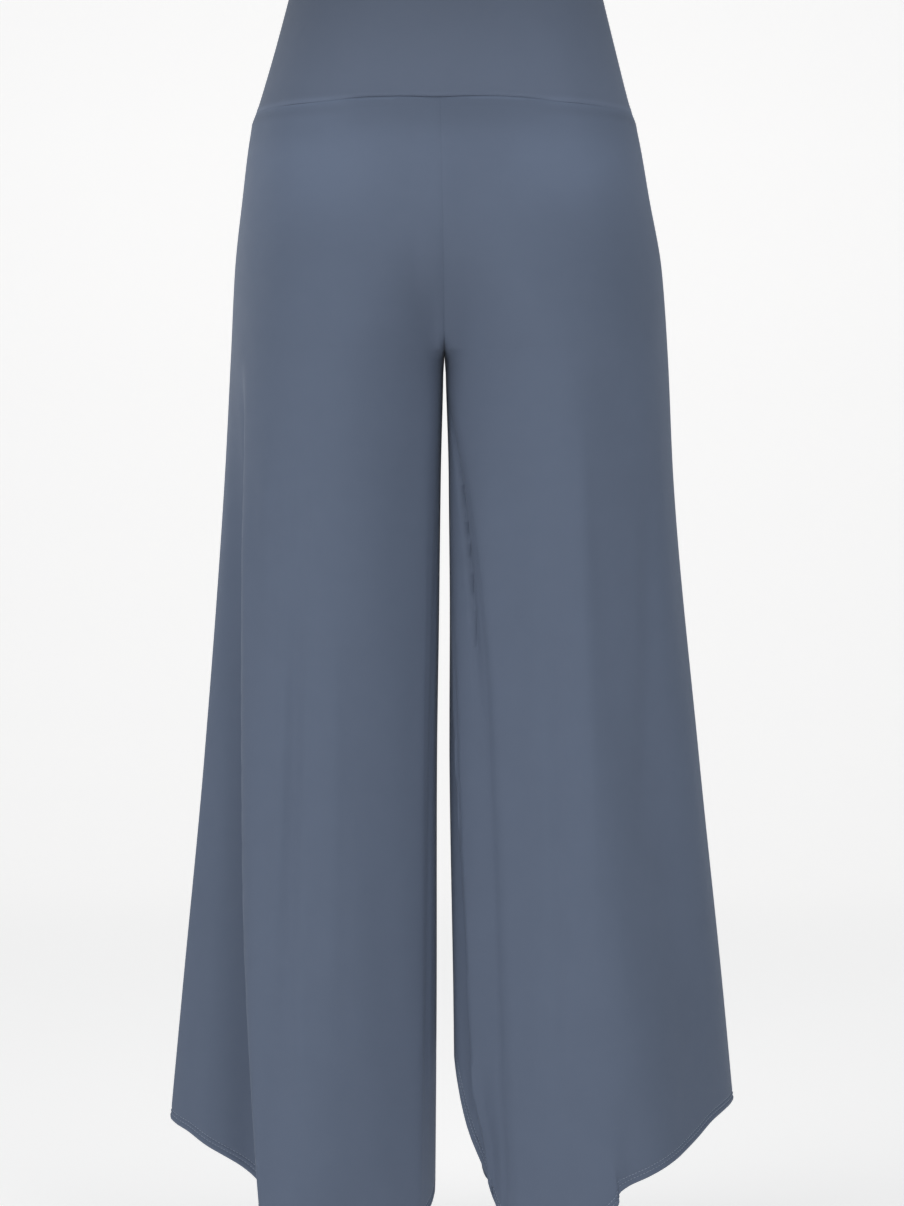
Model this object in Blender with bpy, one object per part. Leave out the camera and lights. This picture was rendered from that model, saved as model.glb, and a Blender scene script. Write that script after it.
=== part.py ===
"""Palazzo pants, filled out as worn: a deep contour waistband over two wide legs
whose hems curve down to a low point at the middle of each leg.

Metres, +Z up. The origin is at the middle of the waistband's top edge. The front
faces -Y, and +X is the wearer's left. Sizes in the tables are in millimetres.
"""
import math
from collections import namedtuple

import bmesh
import bpy
from mathutils import Vector

MM = 0.001

# ---- driving sizes, in millimetres -----------------------------------------
SEAM_GAP = 0.3          # between two pieces that are sewn together
LEG_WALL = 1.5          # one layer of jersey
BAND_WALL = 2.4         # the waistband is double
WAIST_SEAM = 123.0      # how far the waist seam lies below the top edge
RISE_START = 165.0      # the centre seams begin to sink between the legs here
CROTCH = 330.0          # the bottom of the rise, where the legs part
SEAM_LEAN = 5.0         # the centre front seam leans to the right at the waist
HEM_FROM = 800.0        # from here down the rows lean towards the hem's curve
HEM_LOWEST = 1066.0     # the lowest point of the hem
SIDE_EDGE = 0.35        # how much flatter the cloth hangs towards the side at the hem
FOLD_TOP_WIDTH = 0.55   # a fold's width at its start, against its width at the hem

# How finely each piece is divided.
LEG_COLUMNS = 22
BAND_COLUMNS = 26
BAND_ROWS = 5
HIP_ROWS = 4
RISE_ROWS = 8
LEG_ROWS = 11
HEM_ROWS = 5

# ---- the body of the garment ------------------------------------------------
# A row for each level: its drop below the top edge, how far each side stands out
# from the middle, where the inside of each leg is, and the depth to front and back.
Level = namedtuple("Level", "drop right left right_inside left_inside front back")
LEVELS = [
    Level(0.0, 127.5, 130.5, 0.0, 0.0, 104.0, 100.0),
    Level(66.0, 145.0, 146.6, 0.0, 0.0, 109.0, 106.0),
    Level(117.0, 160.0, 159.6, 0.0, 0.0, 112.0, 114.0),
    Level(134.0, 165.4, 164.9, 0.0, 0.0, 113.5, 118.0),
    Level(195.0, 173.3, 175.9, 0.0, 0.0, 117.0, 132.0),
    Level(255.0, 179.6, 186.4, 0.0, 0.0, 118.0, 138.0),
    Level(330.0, 183.2, 191.7, 0.0, 0.0, 116.0, 133.0),
    Level(435.0, 188.8, 196.5, 3.0, 3.0, 111.0, 123.0),
    Level(676.0, 206.8, 218.9, 5.6, 3.9, 107.0, 116.0),
    Level(860.0, 224.2, 238.0, 6.5, 6.6, 112.0, 120.0),
    Level(984.0, 235.8, 249.5, 7.3, 8.0, 118.0, 126.0),
    Level(1066.0, 243.4, 256.4, 8.0, 9.0, 121.0, 129.0),
]

# Angles run round a leg in degrees: 0 at the inseam, 90 at the middle of the
# front, 180 at the side seam and 270 at the middle of the back.
# The hem's drop at each angle, the same behind as in front.
Hem = namedtuple("Hem", "angle right left")
HEM = [
    Hem(0.0, 1036.0, 915.0),
    Hem(10.0, 1048.0, 942.0),
    Hem(15.0, 1053.0, 967.0),
    Hem(20.0, 1057.0, 995.0),
    Hem(25.0, 1059.0, 1018.0),
    Hem(30.0, 1061.0, 1031.0),
    Hem(40.0, 1064.0, 1051.0),
    Hem(52.0, 1066.0, 1063.0),
    Hem(66.0, 1066.0, 1066.0),
    Hem(80.0, 1063.0, 1060.0),
    Hem(90.0, 1059.0, 1046.0),
    Hem(97.0, 1055.0, 1028.0),
    Hem(110.0, 1044.0, 1015.0),
    Hem(123.0, 1031.0, 1001.0),
    Hem(137.0, 1017.0, 987.5),
    Hem(150.0, 1005.0, 975.0),
    Hem(165.0, 990.0, 970.0),
    Hem(180.0, 982.0, 967.0),
]

# The folds that hang down each leg. Each one runs from one angle at its start to
# another at the hem, reaches to both sides of it, and sinks to its depth on the way
# from start to full. A bend over 1 turns it late, and one under 1 turns it early.
Fold = namedtuple("Fold", "leg top hem bend inner outer depth start full")
FOLDS = {
    "right_outer": Fold("right", 151.5, 114.0, 1.5, 14.0, 66.0, 56.0, 335.0, 1020.0),
    "right_middle": Fold("right", 102.0, 98.0, 1.0, 9.0, 9.0, 3.0, 420.0, 640.0),
    "right_inner": Fold("right", 24.0, 20.0, 1.0, 18.0, 6.0, 5.0, 400.0, 900.0),
    "left_inner": Fold("left", 12.0, 47.0, 0.17, 40.0, 9.0, 13.0, 350.0, 640.0),
    "left_inmost": Fold("left", 8.0, 28.0, 1.0, 16.0, 6.0, 7.0, 560.0, 860.0),
    "left_middle": Fold("left", 108.0, 112.0, 1.0, 12.0, 14.0, 4.0, 400.0, 640.0),
    "left_outer": Fold("left", 134.0, 136.0, 1.0, 14.0, 16.0, 5.0, 400.0, 700.0),
    "right_back_outer": Fold("right", 222.0, 236.0, 1.0, 30.0, 18.0, 26.0, 360.0, 1000.0),
    "right_back_inner": Fold("right", 300.0, 292.0, 1.0, 16.0, 24.0, 16.0, 400.0, 980.0),
    "left_back_outer": Fold("left", 212.0, 228.0, 1.0, 26.0, 16.0, 22.0, 380.0, 1000.0),
    "left_back_inner": Fold("left", 282.0, 276.0, 1.0, 20.0, 26.0, 18.0, 370.0, 960.0),
    "left_back_inmost": Fold("left", 352.0, 336.0, 1.0, 18.0, 22.0, 12.0, 560.0, 900.0),
}

# Where columns of faces follow a fold: the share of a panel's columns that lie
# before it, and how many degrees it lies past the bottom of the fold.
Anchor = namedtuple("Anchor", "share fold past")
ANCHORS = {
    ("right", "front"): [Anchor(0.56, "right_outer", -14.0), Anchor(0.68, "right_outer", 0.0)],
    ("left", "front"): [Anchor(0.23, "left_inner", 0.0), Anchor(0.32, "left_inner", 9.0)],
    ("right", "back"): [Anchor(0.32, "right_back_outer", 0.0),
                        Anchor(0.64, "right_back_inner", 0.0)],
    ("left", "back"): [Anchor(0.28, "left_back_outer", 0.0),
                       Anchor(0.58, "left_back_inner", 0.0)],
}

SIDE_SIGN = {"right": -1.0, "left": 1.0}
FACING_SIGN = {"front": -1.0, "back": 1.0}

# Slate-blue jersey, in linear light.
JERSEY_COLOUR = (0.107, 0.133, 0.188, 1.0)
BAND_COLOUR = (0.103, 0.128, 0.181, 1.0)


def ease(value):
    """0 to 1 with a soft start and end."""
    value = min(1.0, max(0.0, value))
    return value * value * (3.0 - 2.0 * value)


def along(rows, key, position, column):
    """Read one column of a table at a position between its rows, on a smooth curve
    that never overshoots the rows."""
    places = [getattr(row, key) for row in rows]
    values = [getattr(row, column) for row in rows]
    position = min(places[-1], max(places[0], position))
    index = 0
    while index < len(places) - 2 and position > places[index + 1]:
        index += 1
    slopes = []
    for at in (index, index + 1):
        if at in (0, len(places) - 1):
            first = max(0, at - 1)
            slopes.append((values[first + 1] - values[first]) / (places[first + 1] - places[first]))
            continue
        before = (values[at] - values[at - 1]) / (places[at] - places[at - 1])
        after = (values[at + 1] - values[at]) / (places[at + 1] - places[at])
        slopes.append(2.0 * before * after / (before + after) if before * after > 0.0 else 0.0)
    span = places[index + 1] - places[index]
    t = (position - places[index]) / span
    return (values[index] * (1 + 2 * t) * (1 - t) ** 2 + slopes[0] * span * t * (1 - t) ** 2
            + values[index + 1] * t * t * (3 - 2 * t) + slopes[1] * span * t * t * (t - 1))


def rise_share(drop):
    """How far the legs have parted: 0 at the hips, 1 from the crotch down. It starts
    and ends softly, and still lets the centre seams run level at the crotch."""
    share = (drop - RISE_START) / (CROTCH - RISE_START)
    share = min(1.0, max(0.0, share))
    return 1.0 - (1.0 - share * share) ** 1.5


def first_angle(drop):
    """The angle at which a leg's front meets the centre seam, or the inseam."""
    return math.degrees(math.acos(rise_share(drop)))


def ring_point(leg, angle, drop):
    """A point of one leg's outline at one level, seen from above, without folds."""
    outside = along(LEVELS, "drop", drop, leg)
    inside = along(LEVELS, "drop", drop, leg + "_inside")
    parted = rise_share(drop)
    half_width = (outside - inside * parted) / (1.0 + parted)
    centre = (outside * parted + inside * parted) / (1.0 + parted)
    turn = math.radians(angle)
    # Low on the leg the side is a soft edge, because the cloth hangs flat there.
    flare = ease((drop - CROTCH) / (HEM_LOWEST - CROTCH))
    towards_side = 0.5 * (1.0 - math.cos(turn))
    power = 1.0 + SIDE_EDGE * flare * towards_side
    depth = along(LEVELS, "drop", drop, "front" if math.sin(turn) >= 0.0 else "back")
    y = depth * abs(math.sin(turn)) ** power
    return centre - half_width * math.cos(turn), -y if math.sin(turn) >= 0.0 else y, centre


def fold_run(fold, drop):
    """How far down its length a fold is: 0 at its start, 1 at the hem."""
    return min(1.0, max(0.0, (drop - fold.start) / (HEM_LOWEST - fold.start)))


def fold_angle(fold, drop):
    """The angle of the bottom of a fold."""
    run = fold_run(fold, drop)
    turned = run ** fold.bend if fold.bend >= 1.0 else 1.0 - (1.0 - run) ** (1.0 / fold.bend)
    return fold.top + (fold.hem - fold.top) * turned


def fold_depth(leg, angle, drop):
    """How far the folds pull the cloth in towards the middle of the leg."""
    depth = 0.0
    for fold in FOLDS.values():
        if fold.leg != leg or drop <= fold.start:
            continue
        middle = fold_angle(fold, drop)
        away = angle - middle
        # A fold widens downwards, and ends at the seams, where two panels meet.
        widened = FOLD_TOP_WIDTH + (1.0 - FOLD_TOP_WIDTH) * fold_run(fold, drop)
        panel_start = 0.0 if middle < 180.0 else 180.0
        if away > 0.0:
            reach = min(fold.outer * widened, panel_start + 180.0 - middle)
        else:
            reach = min(fold.inner * widened, middle - panel_start)
        if abs(away) >= reach:
            continue
        grown = math.sqrt(ease((drop - fold.start) / (fold.full - fold.start)))
        depth += fold.depth * grown * 0.5 * (1.0 + math.cos(math.pi * away / reach))
    return depth


def hem_drop(leg, angle):
    """The hem's drop at an angle; the back repeats the front."""
    return along(HEM, "angle", angle if angle <= 180.0 else 360.0 - angle, leg)


def column_angle(leg, facing, share, level):
    """The angle of a column of faces, which follows the panel's main folds."""
    parted = rise_share(level)
    panel_start = 0.0 if facing == "front" else 180.0
    keys = [(0.0, 0.0)]
    for anchor in ANCHORS[(leg, facing)]:
        angle = fold_angle(FOLDS[anchor.fold], level) + anchor.past
        turned = (angle - panel_start) / 180.0
        keys.append((anchor.share, anchor.share + (turned - anchor.share) * parted))
    keys.append((1.0, 1.0))
    for (share_a, turn_a), (share_b, turn_b) in zip(keys, keys[1:]):
        if share <= share_b:
            break
    part = turn_a + (turn_b - turn_a) * (share - share_a) / (share_b - share_a)
    start = first_angle(level)
    if facing == "front":
        return start + (180.0 - start) * part
    return 180.0 + (180.0 - start) * part


def leg_point(leg, facing, share, level):
    """A point on the outside of a leg panel, in metres. share runs from its first
    edge to its last, and level is a drop that follows the hem low on the leg."""
    angle = column_angle(leg, facing, share, level)
    drop = level
    if level > HEM_FROM:
        part = (level - HEM_FROM) / (HEM_LOWEST - HEM_FROM)
        drop = HEM_FROM + part * (hem_drop(leg, angle) - HEM_FROM)
    x, y, centre = ring_point(leg, angle, drop)
    inwards = fold_depth(leg, angle, drop)
    reach = math.hypot(x - centre, y)
    keep = 1.0 - inwards / reach if reach > 0.0 else 1.0
    x = centre + (x - centre) * keep
    return Vector((SIDE_SIGN[leg] * x, y * keep, -drop)) * MM


def band_point(facing, share, drop):
    """A point on the outside of the waistband, from the right side to the left."""
    leg = "right" if share < 0.5 else "left"
    away = abs(2.0 * share - 1.0)
    angle = 90.0 + 90.0 * away
    if facing == "back":
        angle = 360.0 - angle
    x, y, _ = ring_point(leg, angle, drop)
    return Vector((SIDE_SIGN[leg] * x, y, -drop)) * MM


def lean(point):
    """Slant the front of the hips sideways a little, seam and all."""
    height = 1.0 + point.z / (CROTCH * MM)
    if height <= 0.0 or point.y >= 0.0:
        return point
    forward = min(1.0, -point.y / (LEVELS[0].front * MM))
    return point + Vector((-SEAM_LEAN * MM * ease(height) * ease(forward), 0.0, 0.0))


def outward(point_at, share, level):
    """Square to the outside of a panel at one of its points."""
    step = 0.004
    across = point_at(min(1.0, share + step), level) - point_at(max(0.0, share - step), level)
    down = point_at(share, level + 1.0) - point_at(share, level - 1.0)
    return across.cross(down).normalized()


def levels_between(start, end, rows):
    """Evenly spaced levels after start, up to and including end."""
    return [start + (end - start) * row / rows for row in range(1, rows + 1)]


def leg_levels():
    """The rows of a leg panel, closer together where the seams curve under."""
    levels = [WAIST_SEAM, WAIST_SEAM + 9.0]
    levels += levels_between(levels[-1], RISE_START + 40.0, HIP_ROWS - 1)
    start_turn = math.asin((levels[-1] - RISE_START) / (CROTCH - RISE_START))
    for row in range(1, RISE_ROWS + 1):
        turn = start_turn + (0.5 * math.pi - start_turn) * row / RISE_ROWS
        levels.append(RISE_START + (CROTCH - RISE_START) * math.sin(turn))
    levels += levels_between(CROTCH, HEM_FROM, LEG_ROWS)
    levels += levels_between(HEM_FROM, HEM_LOWEST, HEM_ROWS)
    return levels


def sewn_wall(name, point_at, levels, columns, wall, limits, colour, facing_sign):
    """One cut piece as a closed wall: a grid laid on the piece's outside, then
    extruded to its inside. limits keeps it clear of the pieces sewn to it."""
    rows = len(levels) - 1
    shell = bmesh.new()
    bmesh.ops.create_grid(shell, x_segments=columns, y_segments=rows, size=0.5)
    place = shell.verts.layers.int.new("place")
    inside = {}
    for vert in shell.verts:
        column = round((vert.co.x + 0.5) * columns)
        row = round((0.5 - vert.co.y) * rows)
        vert[place] = row * (columns + 1) + column
        point = point_at(column / columns, levels[row])
        facing = outward(point_at, column / columns, levels[row]) * facing_sign
        through = facing
        if column in (0, columns):
            through = limits.rim_direction(facing, point)
        # A slanting edge is longer than the wall is thick, but only up to a point.
        length = wall * MM / max(0.45, through.dot(facing))
        vert.co = lean(limits.hold(point))
        inside[vert[place]] = lean(limits.hold(point - through * length))
    bmesh.ops.extrude_face_region(shell, geom=shell.faces[:], use_keep_orig=True)
    outside_done = set()
    for vert in shell.verts:
        if vert[place] in outside_done:
            vert.co = inside[vert[place]]
        outside_done.add(vert[place])
    bmesh.ops.recalc_face_normals(shell, faces=shell.faces[:])
    mesh = bpy.data.meshes.new(name)
    shell.to_mesh(mesh)
    shell.free()
    mesh.shade_smooth()
    mesh.set_sharp_from_angle(angle=math.radians(50.0))
    mesh.materials.append(cloth_material(name + "_jersey", colour))
    return bpy.data.objects.new(name, mesh)


class Limits:
    """Half of the seam gap on each side of the planes where the pieces meet."""

    def __init__(self, leg=None, facing=None, above=False):
        self.leg = leg
        self.facing = facing
        self.above = above
        self.half_gap = 0.5 * SEAM_GAP * MM

    def hold(self, point):
        """Move a point back to its own side of each seam."""
        x, y, z = point
        if self.leg:
            side = SIDE_SIGN[self.leg]
            x = side * max(side * x, self.half_gap)
        facing = FACING_SIGN[self.facing]
        y = facing * max(facing * y, self.half_gap)
        seam = -WAIST_SEAM * MM
        z = max(z, seam + self.half_gap) if self.above else min(z, seam - self.half_gap)
        return Vector((x, y, z))

    def rim_direction(self, facing, point):
        """Which way a piece's edge is thick, so that sewn edges stay parallel."""
        if self.leg and abs(point.x) < self.half_gap:
            if facing.x * SIDE_SIGN[self.leg] < 0.0:
                return facing
            return Vector((0.0, facing.y, facing.z)).normalized()
        return Vector((facing.x, 0.0, facing.z)).normalized()


def cloth_material(name, colour):
    """A matt knit with a faint sheen."""
    material = bpy.data.materials.new(name)
    material.use_nodes = True
    shader = material.node_tree.nodes["Principled BSDF"]
    shader.inputs["Base Color"].default_value = colour
    shader.inputs["Roughness"].default_value = 0.85
    shader.inputs["Metallic"].default_value = 0.0
    return material


def build_waistband(pants):
    """The deep contour band, a front and a back joined at the sides."""
    levels = [WAIST_SEAM * row / BAND_ROWS for row in range(BAND_ROWS + 1)]
    for facing, facing_sign in FACING_SIGN.items():
        def point_at(share, drop, facing=facing):
            return band_point(facing, share, drop)
        pants.objects.link(sewn_wall("waistband_" + facing, point_at, levels, BAND_COLUMNS,
                                     BAND_WALL, Limits(facing=facing, above=True),
                                     BAND_COLOUR, facing_sign))


def build_legs(pants):
    """Two front and two back panels, each in one piece from waist seam to hem."""
    for leg in ("right", "left"):
        for facing in ("front", "back"):
            def point_at(share, level, leg=leg, facing=facing):
                return leg_point(leg, facing, share, level)
            pants.objects.link(sewn_wall(f"{facing}_{leg}_leg", point_at, leg_levels(), LEG_COLUMNS,
                                         LEG_WALL, Limits(leg, facing), JERSEY_COLOUR,
                                         -SIDE_SIGN[leg]))


def build():
    """Clear the scene's objects and make the pants."""
    for old in list(bpy.data.objects):
        bpy.data.objects.remove(old, do_unlink=True)
    pants = bpy.data.collections.new("palazzo_pants")
    bpy.context.scene.collection.children.link(pants)
    build_waistband(pants)
    build_legs(pants)


build()
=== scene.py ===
# %% [markdown]
# # Palazzo pants in slate-blue jersey
#
# These are pull-on pants for women: a deep contour waistband over two wide, flared
# legs with curved hems. Six pieces are cut from smooth single jersey and sewn
# together: two for the waistband and two for each leg.
#
# A solid model already gives every piece its true place and size. This lesson
# dresses it: each solid is replaced by a thin sheet of jersey that follows the same
# form, only much finer, with its turned hem, its seam allowances, its folds and its
# knit. The solids' own sizes are repeated here in small tables, so that cloth and
# solid stay together. Sizes in the tables are in millimetres, and Blender's are in
# metres.

# %% Load the frame
import math
from collections import namedtuple

import bmesh
import bpy
import numpy as np
from mathutils import Matrix, Vector


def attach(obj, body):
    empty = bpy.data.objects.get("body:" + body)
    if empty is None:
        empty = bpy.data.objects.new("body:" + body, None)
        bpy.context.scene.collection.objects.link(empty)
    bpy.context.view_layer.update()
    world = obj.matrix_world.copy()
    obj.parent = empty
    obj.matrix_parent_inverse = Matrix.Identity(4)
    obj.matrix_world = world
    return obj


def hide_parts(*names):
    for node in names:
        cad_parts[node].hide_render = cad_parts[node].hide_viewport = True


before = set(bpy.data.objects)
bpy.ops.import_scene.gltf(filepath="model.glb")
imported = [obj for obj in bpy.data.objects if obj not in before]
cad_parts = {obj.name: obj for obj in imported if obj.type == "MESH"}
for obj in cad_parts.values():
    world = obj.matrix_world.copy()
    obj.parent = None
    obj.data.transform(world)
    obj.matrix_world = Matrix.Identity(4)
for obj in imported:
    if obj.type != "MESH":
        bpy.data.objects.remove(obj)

MM = 0.001
scene = bpy.context.scene
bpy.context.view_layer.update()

# %% [markdown]
# ## Camera
#
# The garment is looked at straight from the front, from 3 m away, with a long lens.
# The picture's height at the garment's middle is a real length, 1.037 m, so the lens
# follows from it: focal length = sensor height x distance / picture height. The
# waistband's top edge lies just above the picture, and the low points of both hems
# just below it.

# %% Set the camera
CAMERA_DISTANCE = 3.0
PICTURE_HEIGHT = 1.0372
PICTURE_MIDDLE = Vector((0.0065, 0.0, -0.5411))

camera_data = bpy.data.cameras.new("camera")
camera_data.lens = camera_data.sensor_width * CAMERA_DISTANCE / PICTURE_HEIGHT
camera = bpy.data.objects.new("camera", camera_data)
camera.location = PICTURE_MIDDLE + Vector((0.0, -CAMERA_DISTANCE, 0.0))
camera.rotation_euler = (math.pi / 2, 0.0, 0.0)
scene.collection.objects.link(camera)
scene.camera = camera
print(f"the camera has a {camera_data.lens:.1f} mm lens")

# %% [markdown]
# ## Floor and backdrop
#
# A studio's paper sweep is one sheet that lies on the floor and curves up
# behind the garment, so no edge shows between floor and wall. It could be two planes,
# but their corner would draw a line through the picture. Here it is one grid, whose
# rows are laid along a floor, a quarter circle and a wall. The wall stands far enough
# back to walk round the garment. The paper glows a little, as if it had lights of its
# own, and more towards the wall, where less of the other light arrives. That keeps it
# an even near-white.

# %% Lay the paper sweep
FLOOR_DROP = 1.12          # metres below the waistband's top edge
SWEEP_FRONT = -5.0         # where the paper begins, behind the camera
SWEEP_BACK = 4.0           # where it starts to curve up
SWEEP_RADIUS = 1.6
SWEEP_HEIGHT = 4.0         # of the wall above the curve
SWEEP_HALF_WIDTH = 1.6
SWEEP_ROWS = 48
GLOW_IN_FRONT = 0.42       # how brightly the paper glows at its front end
GLOW_ON_WALL = 0.485       # and at the top of the wall
PAPER_COLOUR = (0.88, 0.85, 0.83, 1.0)
GLOW_COLOUR = (1.0, 1.0, 1.0, 1.0)


def new_material(name):
    """A new material, its node tree and its shader."""
    material = bpy.data.materials.new(name)
    material.use_nodes = True
    return material, material.node_tree, material.node_tree.nodes["Principled BSDF"]


def feed(tree, node, inputs):
    """Give inputs of a node their values: plain ones, or the outputs of other nodes."""
    for name, value in inputs.items():
        if isinstance(value, bpy.types.NodeSocket):
            tree.links.new(value, node.inputs[name])
        else:
            node.inputs[name].default_value = value


def read_attribute(tree, name):
    """The output of a node that reads a number from the mesh."""
    node = tree.nodes.new("ShaderNodeAttribute")
    node.attribute_name = name
    return node.outputs["Fac"]


def sweep_place(share):
    """Depth and height of the paper at a share of its length."""
    floor = SWEEP_BACK - SWEEP_FRONT
    curve = SWEEP_RADIUS * math.pi / 2
    run = share * (floor + curve + SWEEP_HEIGHT)
    if run <= floor:
        return SWEEP_FRONT + run, -FLOOR_DROP
    if run <= floor + curve:
        turn = (run - floor) / SWEEP_RADIUS
        return (SWEEP_BACK + SWEEP_RADIUS * math.sin(turn),
                SWEEP_RADIUS * (1.0 - math.cos(turn)) - FLOOR_DROP)
    return SWEEP_BACK + SWEEP_RADIUS, run - floor - curve + SWEEP_RADIUS - FLOOR_DROP


sweep_mesh = bpy.data.meshes.new("paper_sweep")
sweep = bmesh.new()
bmesh.ops.create_grid(sweep, x_segments=1, y_segments=SWEEP_ROWS, size=1.0)
glow = sweep.verts.layers.float.new("glow")
for vert in sweep.verts:
    share = 0.5 * (vert.co.y + 1.0)
    depth, height = sweep_place(share)
    vert.co = Vector((vert.co.x * SWEEP_HALF_WIDTH, depth, height))
    vert[glow] = GLOW_IN_FRONT + (GLOW_ON_WALL - GLOW_IN_FRONT) * share
sweep.to_mesh(sweep_mesh)
sweep.free()
sweep_mesh.shade_smooth()
paper_sweep = bpy.data.objects.new("paper_sweep", sweep_mesh)
scene.collection.objects.link(paper_sweep)

paper, paper_tree, paper_shader = new_material("white_paper")
feed(paper_tree, paper_shader, {
    "Base Color": PAPER_COLOUR,
    "Roughness": 1.0,
    "Specular IOR Level": 0.0,
    "Emission Color": GLOW_COLOUR,
    "Emission Strength": read_attribute(paper_tree, "glow"),
})
sweep_mesh.materials.append(paper)
print("the paper sweep has", len(sweep_mesh.polygons), "faces")

# %% [markdown]
# ## Soft light
#
# The light on the cloth is broad and even. Two very large softboxes stand well out to
# the left and to the right, above the camera, so that each also reaches the inner wall
# of the leg across from it. A single one beside the camera would leave those walls
# dark. The left one gives nearly twice the light, which lets the folds be read. The
# room itself, which the world's background stands for, is dim, so the folds darken
# where they turn away. Two small softboxes behind the hips, with grids that keep their
# light together, draw a thin bright edge down each side. The Standard view transform
# shows the dyes as they are lit, where a filmic one would grey them.

# %% Hang the softboxes
ROOM_LIGHT = 0.36
ROOM_TINT = (0.90, 0.96, 1.0, 1.0)
OPEN = 180.0            # the spread of a softbox's light, in degrees
GRIDDED = 30.0          # and with a grid in front of it

Softbox = namedtuple("Softbox", "name place target width height watts spread")
SOFTBOXES = [
    Softbox("key_softbox", (-2.35, -2.4, 0.68), (0.0, 0.0, -0.45), 2.4, 2.2, 57.5, OPEN),
    Softbox("fill_softbox", (1.9, -2.2, 0.95), (0.0, 0.0, -0.25), 2.6, 2.0, 33.0, OPEN),
    Softbox("left_edge_softbox", (-1.3, 1.1, 0.0), (-0.17, 0.0, -0.28), 0.4, 0.5, 0.24, GRIDDED),
    Softbox("right_edge_softbox", (1.3, 1.1, 0.0), (0.17, 0.0, -0.26), 0.4, 0.5, 0.06, GRIDDED),
]

for box in SOFTBOXES:
    light_data = bpy.data.lights.new(box.name, "AREA")
    light_data.shape = "RECTANGLE"
    light_data.size = box.width
    light_data.size_y = box.height
    light_data.energy = box.watts
    light_data.spread = math.radians(box.spread)
    light = bpy.data.objects.new(box.name, light_data)
    light.visible_camera = False        # so that none stands in a picture from the side
    light.location = box.place
    ray = Vector(box.target) - light.location
    light.rotation_euler = ray.to_track_quat("-Z", "Y").to_euler()
    scene.collection.objects.link(light)

room = bpy.data.worlds.new("room")
room.use_nodes = True
background = room.node_tree.nodes["Background"]
feed(room.node_tree, background, {"Color": ROOM_TINT, "Strength": ROOM_LIGHT})
scene.world = room
scene.view_settings.view_transform = "Standard"
print("hung", len(SOFTBOXES), "softboxes")

# %% [markdown]
# ## The form of the garment
#
# A pattern maker describes a body by its girths at a few heights. The table of levels
# does the same: a row for each height gives how far the cloth stands out to each
# side, to the front and to the back. Between the rows the sizes are read on a smooth
# curve that never overshoots them, so no bump appears that no row asks for.

# %% The levels of the body
WAIST_SEAM = 123.0      # how far the waist seam lies below the top edge
RISE_START = 165.0      # the centre seams begin to sink between the legs here
CROTCH = 330.0          # the bottom of the rise, where the legs part
SEAM_LEAN = 5.0         # the centre front seam leans to the right at the waist
HEM_FROM = 800.0        # from here down the rows lean towards the hem's curve
HEM_LOWEST = 1066.0     # the lowest point of the hem
SIDE_EDGE = 0.35        # how much flatter the cloth hangs towards the side at the hem

Level = namedtuple("Level", "drop right left right_inside left_inside front back")
LEVELS = [
    Level(0.0, 127.5, 130.5, 0.0, 0.0, 104.0, 100.0),
    Level(66.0, 145.0, 146.6, 0.0, 0.0, 109.0, 106.0),
    Level(117.0, 160.0, 159.6, 0.0, 0.0, 112.0, 114.0),
    Level(134.0, 165.4, 164.9, 0.0, 0.0, 113.5, 118.0),
    Level(195.0, 173.3, 175.9, 0.0, 0.0, 117.0, 132.0),
    Level(255.0, 179.6, 186.4, 0.0, 0.0, 118.0, 138.0),
    Level(330.0, 183.2, 191.7, 0.0, 0.0, 116.0, 133.0),
    Level(435.0, 188.8, 196.5, 3.0, 3.0, 111.0, 123.0),
    Level(676.0, 206.8, 218.9, 5.6, 3.9, 107.0, 116.0),
    Level(860.0, 224.2, 238.0, 6.5, 6.6, 112.0, 120.0),
    Level(984.0, 235.8, 249.5, 7.3, 8.0, 118.0, 126.0),
    Level(1066.0, 243.4, 256.4, 8.0, 9.0, 121.0, 129.0),
]
SIDE_SIGN = {"right": -1.0, "left": 1.0}
FACING_SIGN = {"front": -1.0, "back": 1.0}


def read_column(rows, key, column, positions):
    """Read one column of a table at positions between its rows."""
    places = np.array([getattr(row, key) for row in rows])
    values = np.array([getattr(row, column) for row in rows])
    secants = np.diff(values) / np.diff(places)
    before, after = secants[:-1], secants[1:]
    same_way = before * after > 0.0
    middle = np.zeros(len(before))
    middle[same_way] = (2.0 * before * after)[same_way] / (before + after)[same_way]
    slopes = np.concatenate(([secants[0]], middle, [secants[-1]]))
    positions = np.clip(positions, places[0], places[-1])
    at = np.clip(np.searchsorted(places, positions) - 1, 0, len(places) - 2)
    span = places[at + 1] - places[at]
    t = (positions - places[at]) / span
    return (values[at] * (1 + 2 * t) * (1 - t) ** 2 + slopes[at] * span * t * (1 - t) ** 2
            + values[at + 1] * t * t * (3 - 2 * t) + slopes[at + 1] * span * t * t * (t - 1))


def ease(value):
    """0 to 1 with a soft start and end."""
    value = np.clip(value, 0.0, 1.0)
    return value * value * (3.0 - 2.0 * value)


Onset = namedtuple("Onset", "place length")


def sets_in(position, onset):
    """0 up to the place of an onset, and then softly up to 1 over its length."""
    return ease((position - onset.place) / onset.length)


print("at the hips the cloth is", 2 * read_column(LEVELS, "drop", "left", 255.0), "mm wide")

# %% [markdown]
# ## From one tube to two
#
# At the waist the garment is one tube, and below the crotch it is two. Each leg is a
# ring of its own, seen from above, whose angles run from the inseam at 0 degrees over
# the middle of the front at 90 and the side seam at 180 to the middle of the back at
# 270. Above the crotch the two rings still overlap, so only the part outside the
# centre seams is used. The share that says how far the legs have parted eases in and
# levels out at the crotch, which is what makes the smooth saddle of a sewn rise.

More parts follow.
